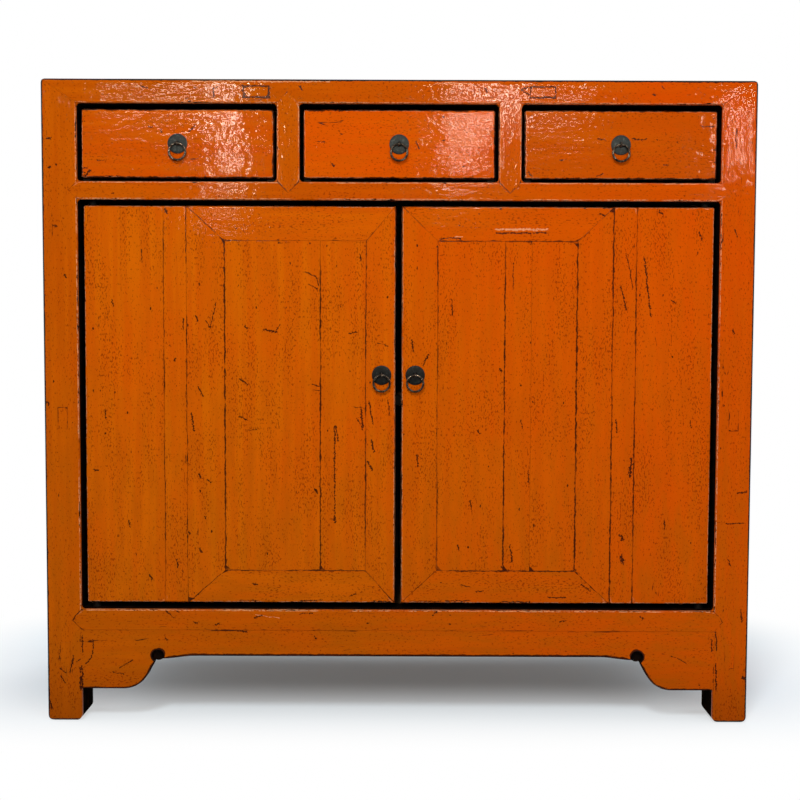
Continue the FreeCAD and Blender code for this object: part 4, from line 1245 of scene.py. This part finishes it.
def make_apron():
    """Apron as rings of its outline: over the back, up the edge, round the front arris, on to the face.

    The flat inside of both faces is closed with one cell each."""
    low, high = apron_low, apron_high
    half = apron_outline(apron_edge, low[2])
    top = np.linspace([apron_end, high[2]], [-apron_end, high[2]], 90)
    end = np.linspace(half[-1], top[0], 12)[1:-1]
    outline = np.concatenate([half, end, top, end[::-1] * (-1, 1), half[:0:-1] * (-1, 1)])
    arris, rim, band, back_arris = 1.0 * mm, 1.3 * mm, 3.2 * mm, 0.6 * mm
    margin, least_band = 1 * mm, 0.2 * mm
    shaped = (outline[:, 1] < high[2] - margin) & (np.abs(outline[:, 0]) < inner_x - margin)
    turn = np.radians([0, 30, 60, 90])
    inset = np.concatenate([[rim, back_arris, 0], arris * (1 - np.cos(turn)), [rim, band]])
    back = [high[1], high[1], high[1] - back_arris]
    depth = np.concatenate([back, low[1] + arris * (1 - np.sin(turn)), [low[1]] * 2])
    depth[-3:] += leg_sink
    widths = [np.full(len(outline), across) for across in inset]
    room = corner_room(outline)
    border = np.where(np.abs(outline[:, 0]) < notch_x, notch_border, spandrel_border)
    widths[-2] = np.where(shaped, np.maximum(rim, border * room), rim)
    widths[-1] = widths[-2] + np.maximum(least_band, (band - rim) * room)
    points = np.concatenate([
        np.insert(inset_ring(outline, across), 1, y, axis=1) for across, y in zip(widths, depth)
    ])
    rows, count = len(widths), len(outline)
    cells = ring_cells(rows, count)
    number = np.arange(count)
    caps = (number[::-1], number + (rows - 1) * count)
    shift = (3.1, 1.7)
    grain = points[np.concatenate([cells.ravel(), *caps])][:, [0, 2]] + shift
    fields = {
        "edge": np.outer(np.array([5, 0, 0, 0, 0, 0, 0, 0, 5]) * mm, np.ones(count)),
        "seam": np.outer(np.ones(rows), np.where(shaped, apron_seam, frame_seam)),
        "arris": np.outer([0, 0.3, 0, 0.2, 0.5, 0.5, 0.2, 0, 0], shaped),
        "rim": np.zeros((rows, count)),
        "dark": np.outer([0.7, 1, 1, 1, 0.8, 0.4, 0, 0, 0], shaped),
    }
    painted = np.zeros((rows - 1, count), bool)
    painted[1:4] = shaped & np.roll(shaped, -1)
    finish = np.append(painted.ravel(), [False, False])
    materials = (finished("skirt_board")[0], black_paint)
    add_piece("skirt_board", points, cells, materials, "carcass", "apron_front",
              grain, fields, finish, caps)


def make_notch_shade_discs():
    """Thin dark disc that closes each notch behind as painted shade, hiding the floor under the cabinet:
    rings that grow, turn the rim and shrink again.
    """
    share = np.array([0.1, 0.5, 0.9, 1.0, 1.0, 0.9, 0.5, 0.1])
    depth = apron_low[1] + np.array([6.0, 6.0, 6.0, 6.4, 7.5, 7.9, 7.9, 7.9]) * mm
    turn = full_turn(40)
    widest, narrowing, lean = 1.04, 0.16, 0.9 * math.pi
    reach = notch_radius * (widest - narrowing * np.clip(np.sin(turn + lean), 0, 1))
    radius = np.outer(share, reach)
    cells = capped_cells(len(share), len(turn))
    for side, sign in side_sign.items():
        points = grid_points(
            sign * (notch_x + radius * np.cos(turn)), depth[:, None], apron_edge + radius * np.sin(turn)
        )
        turned = cells[:, ::-1] if sign > 0 else cells
        piece = f"notch_back_{side}"
        add_piece(piece, points, turned, (black_paint,), "carcass", "apron_front")


def make_corner_fills():
    """Lacquer that has run into the corners of the openings.

    Each is a prism whose outline is a hollow quarter circle and the two edges of the corner."""
    posts = [corner[0] for side in side_sign for corner in limits(f"drawer_divider_{side}")]
    openings = {
        "doors": (-inner_x, inner_x, sill_top, waist_low),
        "drawer_left": (-inner_x, posts[0], waist_high, top_low),
        "drawer_middle": (posts[1], posts[2], waist_high, top_low),
        "drawer_right": (posts[3], inner_x, waist_high, top_low),
    }
    overlap, clear = 0.3 * mm, 9 * mm
    turn = np.linspace(0, math.pi / 2, 9)
    arc = opening_fill * (1 - np.stack([np.sin(turn), np.cos(turn)], axis=1))
    along = np.linspace(0, opening_fill, 5)[:, None]
    ring = np.concatenate([arc, along[3::-1] * (0, 1), along[1:4] * (1, 0)]) - overlap
    inset = np.array([0.7, 0.2, 0, 0, 0, 0]) * mm
    depth = np.array([0, 0.25, 0.8, 3.2, 4.4, 12]) * mm + leg_sink
    rows = ring[None] + (ring.mean(axis=0) - ring)[None] * (inset / (0.5 * opening_fill))[:, None, None]
    shape = (len(depth), len(ring))
    fields = {label: np.zeros(shape) for label in ("seam", "arris", "rim")}
    fields["edge"] = np.full(shape, clear)
    fields["dark"] = np.outer([0, 0, 0, 0, 1, 1], np.ones(len(ring)))
    cells = capped_cells(*shape)
    shift = 2.3
    for label, (left, right, low, high) in openings.items():
        for number, (x, x_sign) in enumerate(((left, 1), (right, -1))):
            for level, (z, z_sign) in enumerate(((low, 1), (high, -1))):
                piece = f"{label}_corner_{number + 1}_{level + 1}"
                points = grid_points(
                    x + x_sign * rows[:, :, 0], front_y + depth[:, None], z + z_sign * rows[:, :, 1]
                )
                turned = cells[:, ::-1] if x_sign * z_sign > 0 else cells
                grain = points[:, [0, 2]][turned] + shift
                add_piece(piece, points, turned, lacquered[:1], "carcass", "middle_rail_front",
                          grain, fields)


# Drawers

def make_drawer(place):
    """Lacquered front with rebated ends, and a plain box behind it."""
    owner = f"drawer_{place}"
    front, sides = f"{owner}_front", f"{owner}_sides"
    low, high = limits(front)
    width, thickness, _ = high - low
    share = (thickness - drawer_lap - drawer_front_kept) / (thickness - drawer_front_kept)

    def rebate(points, spans):
        beyond = np.minimum(points[:, 0], spans[0] - points[:, 0]) < drawer_side_thickness
        thinned = np.minimum(points[:, 2], drawer_front_kept + (points[:, 2] - drawer_front_kept) * share)
        points[:, 2] = np.where(beyond, thinned, points[:, 2])
        return points

    cut = (drawer_side_thickness - rebate_step, drawer_side_thickness + rebate_step)
    piece = f"{owner}_face"
    board(
        piece, (low, high), "x", "-y", front, finished(piece, f"{place}_drawer"), owner, rounds=leaf_round,
        dark="-x +x -z +z", paint_depth=leaf_paint_depth, reshape=rebate, seams=drawer_seam,
        corners=(leaf_corner, leaf_corner), extra={0: (*cut, width - cut[0], width - cut[1])},
    )
    low, high = limits(sides)
    walls = {
        "left": (low[0], low[0] + drawer_side_thickness),
        "right": (high[0] - drawer_side_thickness, high[0]),
    }
    for side, x_span in walls.items():
        box = limits_within(sides, x=x_span)
        board(f"{owner}_{side}_wall", box, "y", facing[side], sides, unfinished, owner, rounds=wood_round,
              step=inside_step)
    for label, part, face in (("rear_wall", "back", "+y"), ("floor", "bottom", "+z")):
        node = f"{owner}_{part}"
        board(f"{owner}_{label}", limits(node), "x", face, node, unfinished, owner, rounds=wood_round,
              step=inside_step)


# Doors

def tapered(near, far, low_start, high_start, low_stop, high_stop):
    """Straight mitred ends: start and stop run from one value at the low edge to one at the high edge."""
    def ends(across, depth):
        share = (across - near) / (far - near)
        return low_start + (high_start - low_start) * share, low_stop + (high_stop - low_stop) * share
    return ends


def make_door(side):
    """One leaf: mitred frame, panel boards, two planks, battens and turned pivots."""
    sign = side_sign[side]
    owner = f"door_{side}"
    strengths = door_seams[side]
    parts = ("meeting_stile", "panel_stile", "rails", "panel", "planks", "battens")
    stile, panel_stile, rails, panel, planks, battens = (f"{owner}_{part}" for part in parts)
    low, high = limits(stile)
    z_low, z_high = low[2], high[2]
    y_span = (low[1], high[1])
    panel_low, panel_high = z_low + door_bottom_rail_height, z_high - door_top_rail_height
    inner_edge, meeting = from_left(side, low[0], high[0])
    frame_edge, panel_edge = from_left(side, *(corner[0] for corner in limits(panel_stile)))

    def leaf_board(part, node, box, grain, **settings):
        """Board of the leaf that shows on its front."""
        piece = f"{owner}_{part}"
        board(piece, box, grain, "-y", node, finished(piece, f"{side}_door"), owner, **settings)

    def upright(part, node, span, across_round, seams, taper=None, dark=""):
        """Board as high as the leaf, with mitred ends where a taper is given."""
        span = sorted(span)
        end_round, end_seam = (seam_round, mitre_seam) if taper else (leaf_round, 0)
        leaf_board(
            part, node, limits_within(node, x=span, y=y_span, z=(z_low, z_high)), "z",
            rounds=((end_round, end_round), across_round, (leaf_round, seam_round)),
            ends=tapered(*span, *taper) if taper else None, dark=f"-z +z {dark}",
            paint_depth=leaf_paint_depth, seams=(end_seam, end_seam, *seams),
            inside_from=door_panel_thickness,
        )

    upright("inner_stile", stile, (inner_edge, meeting), from_left(side, seam_round, leaf_round),
            from_left(side, strengths[0], 0),
            (*from_left(side, panel_low, z_low), *from_left(side, panel_high, z_high)), inward[side])
    upright("middle_stile", panel_stile, (frame_edge, panel_edge), (seam_round, seam_round),
            from_left(side, strengths[-2], strengths[-3]),
            (*from_left(side, z_low, panel_low), *from_left(side, z_high, panel_high)))

    outer_ends = sorted((meeting, frame_edge))
    inner_ends = sorted((inner_edge, panel_edge))
    for part, z_span, low_ends, high_ends, across_round, seams, dark in (
        ("head_rail", (panel_high, z_high), inner_ends, outer_ends,
         (seam_round, leaf_round), (rail_seam, 0), "+z"),
        ("sill_rail", (z_low, panel_low), outer_ends, inner_ends,
         (leaf_round, seam_round), (0, rail_seam), "-z"),
    ):
        starts, stops = zip(low_ends, high_ends)
        leaf_board(
            part, rails, limits_within(rails, x=outer_ends, y=y_span, z=z_span), "x",
            rounds=((seam_round, seam_round), across_round, (leaf_round, seam_round)),
            ends=tapered(*z_span, *starts, *stops), dark=dark, paint_depth=leaf_paint_depth,
            seams=(mitre_seam, mitre_seam, *seams), inside_from=door_panel_thickness,
        )

    shares = (0, *panel_split_shares[side], 1)
    places = [inner_edge + (panel_edge - inner_edge) * share for share in shares]
    for number, span in enumerate(zip(places, places[1:])):
        box = limits_within(panel, x=sorted(span), y=(y_span[0], y_span[0] + door_panel_thickness),
                            z=(panel_low, panel_high))
        sides = from_left(side, strengths[number + 1], strengths[number])
        leaf_board(f"panel_board_{number + 1}", panel, box, "z", seams=(mitre_seam, mitre_seam, *sides))

    outer_edge = limits(planks)[0 if sign < 0 else 1][0]
    split = frame_edge + sign * narrow_plank_width[side]
    upright("narrow_plank", planks, (frame_edge, split), (seam_round, seam_round),
            from_left(side, strengths[-1], strengths[-2]))
    upright("wide_plank", planks, (split, outer_edge), from_left(side, leaf_round, seam_round),
            from_left(side, 0, strengths[-1]), dark=facing[side])
    make_pivots(owner, planks, outer_edge - sign * pivot_inset, sum(y_span) / 2, z_low, z_high)

    low, high = limits(battens)
    for part, z_span in (
        ("low_batten", (low[2], low[2] + door_batten_height)),
        ("high_batten", (high[2] - door_batten_height, high[2])),
    ):
        board(f"{owner}_{part}", limits_within(battens, z=z_span), "x", "+y", battens, unfinished, owner,
              rounds=2 * wood_round, step=inside_step)


def make_pivots(owner, node, x, y, z_low, z_high):
    """Turned pivots: a rounded rod above and below the leaf, of rings round its upright axis."""
    low, high = limits(node)
    turn = full_turn(32)
    share = np.array([0, 0, 0.25, 0.5, 0.75, 0.9, 0.96, 1, 1])
    radius = pivot_radius * np.array([0.3, 1, 1, 1, 0.99, 0.97, 0.88, 0.6, 0.2])
    cells = capped_cells(len(share), len(turn))
    for label, root, tip in (("low", z_low + leaf_round, low[2]), ("high", z_high - leaf_round, high[2])):
        height = root + (tip - root) * share
        points = grid_points(
            x + np.outer(radius, np.cos(turn)), y + np.outer(radius, np.sin(turn)), height[:, None]
        )
        turned = cells[:, ::-1] if tip < root else cells
        add_piece(f"{owner}_{label}_pivot", points, turned, (shelf_wood,), owner, node)


# Pulls

def tube(path, radius, sides, closed):
    """Round wire along a path: circles across the path, all laid out from one steady direction."""
    if closed:
        tangent = np.roll(path, -1, axis=0) - np.roll(path, 1, axis=0)
    else:
        tangent = np.gradient(path, axis=0)
    tangent /= np.linalg.norm(tangent, axis=1, keepdims=True)
    side = np.tile([1.0, 0.0, 0.0], (len(path), 1))
    upward = np.cross(tangent, side)
    least_upward = 0.3
    if np.linalg.norm(upward, axis=1).min() < least_upward:
        upward = np.tile([0.0, 1.0, 0.0], (len(path), 1))
        side = np.cross(upward, tangent)
    turn = full_turn(sides)
    spread = np.cos(turn)[None, :, None] * side[:, None] + np.sin(turn)[None, :, None] * upward[:, None]
    points = path[:, None] + np.asarray(radius)[:, None, None] * spread
    cells = ring_cells(len(path), sides, True) if closed else capped_cells(len(path), sides)
    return points.reshape(-1, 3), cells


def make_pull(kind, place, front):
    """Domed plate, split pin with its eye, and the ring that hangs in the eye."""
    owner = f"{kind}_{place}"
    plate = f"{owner}_pull_plate"
    face_y, back_y = (corner[1] for corner in limits(f"{owner}_{front}"))
    low, high = limits(plate)
    x, z = (low[0] + high[0]) / 2, (low[2] + high[2]) / 2
    seed = seed_of(owner)

    turn = full_turn(72)
    share = np.array([0.0, 0.04, 0.12, 0.3, 0.5, 0.7, 0.85, 0.95, 0.985, 1.0, 1.0, 0.97, 0.6, 0.2, 0.0])
    rise = np.array([0.2, 0.8, 1.0, 1.0, 0.97, 0.9, 0.78, 0.62, 0.5, 0.36, 0.16, 0.05, 0.05, 0.05, 0.05])
    radius = plate_hole + (plate_radius - plate_hole) * share
    uneven = waves(np.cos(turn), np.sin(turn), seed, 2.0, 0.3) - 0.5
    radius = radius[:, None] * (1 + outline_waver * uneven * share[:, None])
    height = rise[:, None] * plate_thickness * (1 - dome_waver * np.abs(uneven))
    points = grid_points(x + radius * np.cos(turn), face_y - height, z + radius * np.sin(turn))
    cells = ring_cells(len(share), len(turn), True)
    add_piece(f"{owner}_pull_rose", points, cells, (plate_iron[kind],), owner, plate)

    eye_y = face_y - eye_drop
    loop = np.linspace(-1.25, 1.25, 40) * math.pi / 1.5
    loop_y = eye_y - eye_radius * np.cos(loop)
    loop_z = eye_radius * np.sin(loop)
    neck_y = np.linspace(loop_y[-1] + pin_neck, back_y - pin_neck, 8)
    bend = np.linspace(0, math.pi / 2, 6)
    bend_y = back_y - pin_neck + pin_bend * np.sin(bend)
    bend_z = pin_strand + pin_bend * (1 - np.cos(bend))
    foot_z = np.linspace(bend_z[-1] + 1 * mm, pin_foot, 6)
    leg_y = np.concatenate([neck_y, bend_y[1:], np.full(6, bend_y[-1])])
    leg_z = np.concatenate([np.full(8, pin_strand), bend_z[1:], foot_z])
    path = grid_points(x, np.concatenate([leg_y[::-1], loop_y, leg_y]),
                       z + np.concatenate([-leg_z[::-1], loop_z, leg_z]))
    thickness = np.full(len(path), eye_wire)
    thickness[:3] *= (0.3, 0.7, 0.9)
    thickness[-3:] *= (0.9, 0.7, 0.3)
    points, cells = tube(path, thickness, 14, False)
    add_piece(f"{owner}_pull_pin", points, cells, (ring_iron,), owner, plate)

    around = full_turn(96)
    uneven = waves(np.cos(around), np.sin(around), seed + 1, 2.0, 0.5) - 0.5
    reach = ring_radius * (1 + outline_waver * uneven * np.cos(around / 2) ** 2)
    path = grid_points(x + reach * np.sin(around), eye_y, z - ring_radius + reach * np.cos(around))
    wire = ring_wire * (1 - wire_taper * np.cos(around) + wire_waver * uneven)
    points, cells = tube(path, np.minimum(wire, thickest_ring_wire), 20, True)
    add_piece(f"{owner}_pull_hoop", points, cells, (ring_iron,), f"{owner}_ring", f"{owner}_pull_ring")


for each_side in side_sign:
    for each_place in ("front", "rear"):
        make_leg(each_side, each_place)
    make_top_rail(each_side)
    make_pointed(f"drawer_post_{each_side}", f"drawer_divider_{each_side}", "z", (waist_high, top_low),
                 "-x +x", post_seams, post_wave)
    make_side(each_side)
    make_door(each_side)
for each_place in ("front", "rear"):
    make_top_rail(each_place)
rail_span = (-inner_x, inner_x)
make_pointed("waist_rail", "middle_rail_front", "x", rail_span, "-z +z", waist_seams, rail_wave)
make_pointed("sill_rail", "bottom_rail_front", "x", rail_span, "+z", sill_seams, rail_wave, seam_round)
make_top()
make_back()
make_apron()
make_notch_shade_discs()
make_corner_fills()
for each_place in ("left", "middle", "right"):
    make_drawer(each_place)
    make_pull("drawer", each_place, "front")
for each_side in side_sign:
    make_pull("door", each_side, "meeting_stile")

for inside_node in ("floor_boards", "shelf_boards", "drawer_runners", "drawer_guides"):
    for material_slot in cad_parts[inside_node].material_slots:
        material_slot.material = shelf_wood


# Camera

camera = bpy.data.objects.new("camera", bpy.data.cameras.new("camera"))
camera.data.sensor_width = sensor_width
camera.data.lens = focal_pixels * sensor_width / picture_pixels
camera.matrix_world = Matrix.Translation(camera_place) @ camera_turn.to_4x4()
bpy.context.scene.collection.objects.link(camera)
bpy.context.scene.camera = camera


# Floor, background and lights

floor_colour = srgb(217, 233, 242)
cloth_colour = srgb(20, 14, 10)
slat_colour = (1.0, 0.82, 0.64)
ambient = 0.37


def stage_mesh(name, points, cells, material):
    """Mesh object of the stage from points and lists of corner numbers."""
    mesh = bpy.data.meshes.new(name)
    mesh.from_pydata(points, [], cells)
    mesh.update(calc_edges=True)
    mesh.materials.append(material)
    made = bpy.data.objects.new(name, mesh)
    bpy.context.scene.collection.objects.link(made)
    return made


def seen_directly(web):
    """1 for rays from the camera and for mirrored and refracted ones, which show the background."""
    path = web.tree.nodes.new("ShaderNodeLightPath").outputs
    kinds = ("Camera", "Glossy", "Transmission")
    return web.greatest(*(Value(web, path[f"Is {kind} Ray"]) for kind in kinds))


def make_floor():
    """Pale floor disc that turns pure white away from the cabinet, past its shadow."""
    radius, fade, nearest = 6.0, 0.34, 0.07
    rings = radius * np.linspace(0, 1, 25)[1:] ** 2
    turn = full_turn(96)
    points = grid_points(np.outer(rings, np.cos(turn)), np.outer(rings, np.sin(turn)), 0.0)
    cells = ring_cells(len(rings), len(turn)).tolist() + [list(range(len(turn)))[::-1]]

    material, web, _ = new_material("pale_floor")
    web.tree.nodes.clear()
    across, along, _ = web.outputs("SeparateXYZ", web.place())
    sideways = web.maths("ABSOLUTE", across) - half_width
    lengthways = web.greatest(along * -1.0, along - rear_y)
    beyond = web.vector("MAXIMUM", web.add("CombineXYZ", sideways, lengthways, 0.0), (0.0, 0.0, 0.0))
    share = web.step(web.vector("LENGTH", beyond, out=1), 0.0, fade) * (1 - nearest) + nearest
    pale = web.add("BsdfDiffuse", floor_colour)
    white = web.add("Emission", (1.0, 1.0, 1.0, 1.0), 1.0)
    end = web.tree.nodes.new("ShaderNodeOutputMaterial")
    web.put(end.inputs[0], web.add("MixShader", share * seen_directly(web), pale, white))
    stage_mesh("floor", points, [cell[::-1] for cell in cells], material)


def make_world():
    """Even grey light all round; seen directly, the background is white."""
    world = bpy.data.worlds.new("studio")
    world.use_nodes = True
    web = Web(world.node_tree)
    background = world.node_tree.nodes["Background"].inputs
    background["Color"].default_value = (1.0, 1.0, 1.0, 1.0)
    web.put(background["Strength"], seen_directly(web) * (1.0 - ambient) + ambient)
    bpy.context.scene.world = world


def make_flag():
    """Dark card behind the camera and on the floor before it, seen only in mirrored rays, so that the
    front of the lacquer mirrors little but the window lights."""
    half, height, far, near = 4.0, 3.4, -2.3, front_y
    bend, lift = 0.25, 0.6 * mm
    turn = np.linspace(0, math.pi / 2, 9)[1:-1]
    floor_y = np.linspace(near, far + bend, 6)
    wall_z = np.linspace(bend, height, 6)
    profile_y = np.concatenate([floor_y, far + bend * (1 - np.sin(turn)), np.full(6, far)])
    profile_z = np.concatenate([np.full(6, lift), bend * (1 - np.cos(turn)) + lift, wall_z])
    across = np.linspace(-half, half, 8)
    points = grid_points(across, profile_y[:, None], profile_z[:, None])
    number = np.arange(len(points)).reshape(len(profile_y), len(across))
    cells = np.stack([number[:-1, :-1], number[:-1, 1:], number[1:, 1:], number[1:, :-1]], axis=-1)
    material, _, shader = new_material("dark_cloth")
    shader["Base Color"].default_value = cloth_colour
    shader["Roughness"].default_value = 1.0
    shader["Specular IOR Level"].default_value = 0.0
    card = stage_mesh("dark_card", points, cells.reshape(-1, 4).tolist(), material)
    for ray in ("camera", "diffuse", "transmission", "volume_scatter", "shadow"):
        setattr(card, "visible_" + ray, False)


def softbox(name, place, aim, size, radiance):
    """Rectangular lamp of a given brightness that looks at a point."""
    lamp = bpy.data.lights.new(name, "AREA")
    lamp.shape = "RECTANGLE"
    lamp.size, lamp.size_y = size
    lamp.energy = radiance * math.pi * size[0] * size[1]
    made = bpy.data.objects.new(name, lamp)
    made.location = place
    made.rotation_euler = (Vector(aim) - Vector(place)).to_track_quat("-Z", "Y").to_euler()
    bpy.context.scene.collection.objects.link(made)
    return made


def blind(name, x_span, lowest, highest, radiances):
    """Slats of warm light in a window beside the camera, facing the cabinet and seen only in the gloss.

    They stand at even steps from the height span of the lowest to that of the highest."""
    spans = np.linspace(lowest, highest, len(radiances)).tolist()
    x = sum(x_span) / 2
    for number, (span, radiance) in enumerate(zip(spans, radiances)):
        z = sum(span) / 2
        size = (x_span[1] - x_span[0], span[1] - span[0])
        slat = softbox(f"{name}_{number + 1}", (x, camera_place[1], z), (x, 0.0, z), size, radiance)
        slat.data.color = slat_colour
        slat.visible_diffuse = False


make_floor()
make_world()
make_flag()
for lamp_name, lamp_place, lamp_aim, lamp_size, lamp_radiance in (
    ("key_light", (-0.45, -2.6, 2.9), (0.0, -0.2, 0.45), 0.7, 47.0),
    ("fill_light", (1.8, -2.6, 1.6), (0.0, -0.2, 0.45), 1.4, 2.6),
    ("left_light", (-2.8, 0.3, 1.1), (-0.5, 0.0, 0.45), 1.4, 4.0),
    ("right_light", (2.8, 0.3, 1.1), (0.5, 0.0, 0.45), 1.4, 4.0),
    ("rear_light", (0.5, 2.2, 3.2), (0.0, 0.2, 0.45), 1.4, 5.0),
):
    softbox(lamp_name, lamp_place, lamp_aim, (lamp_size, lamp_size), lamp_radiance).visible_glossy = False
blind("window_left", (-0.515, -0.445), (1.00, 1.03), (1.225, 1.255), (60.0, 76.0, 96.0, 104.0))
blind("window_left_low", (-0.56, -0.44), (0.862, 0.885), (0.95, 0.98), (14.0, 8.0))
blind("window_left_wing", (-0.66, -0.53), (1.205, 1.225), (1.235, 1.25), (46.0, 46.0))
blind("window_left_edge", (-0.83, -0.66), (1.212, 1.224), (1.234, 1.244), (52.0, 40.0))
blind("window_middle", (0.112, 0.25), (1.09, 1.11), (1.235, 1.255), (66.0, 70.0, 80.0))
blind("window_middle_sill", (0.112, 0.21), (0.975, 0.995), (1.02, 1.05), (22.0, 30.0))
blind("window_right", (0.25, 0.35), (1.11, 1.13), (1.23, 1.26), (14.0, 50.0, 84.0))
blind("window_right_wing", (0.35, 0.54), (1.145, 1.165), (1.215, 1.238), (6.0, 48.0))
blind("window_far_right", (0.962, 0.985), (1.0, 1.24), (1.0, 1.24), (62.0,))
blind("window_far_inner", (0.90, 0.918), (1.02, 1.22), (1.02, 1.22), (50.0,))

bpy.context.scene.view_settings.view_transform = "Standard"
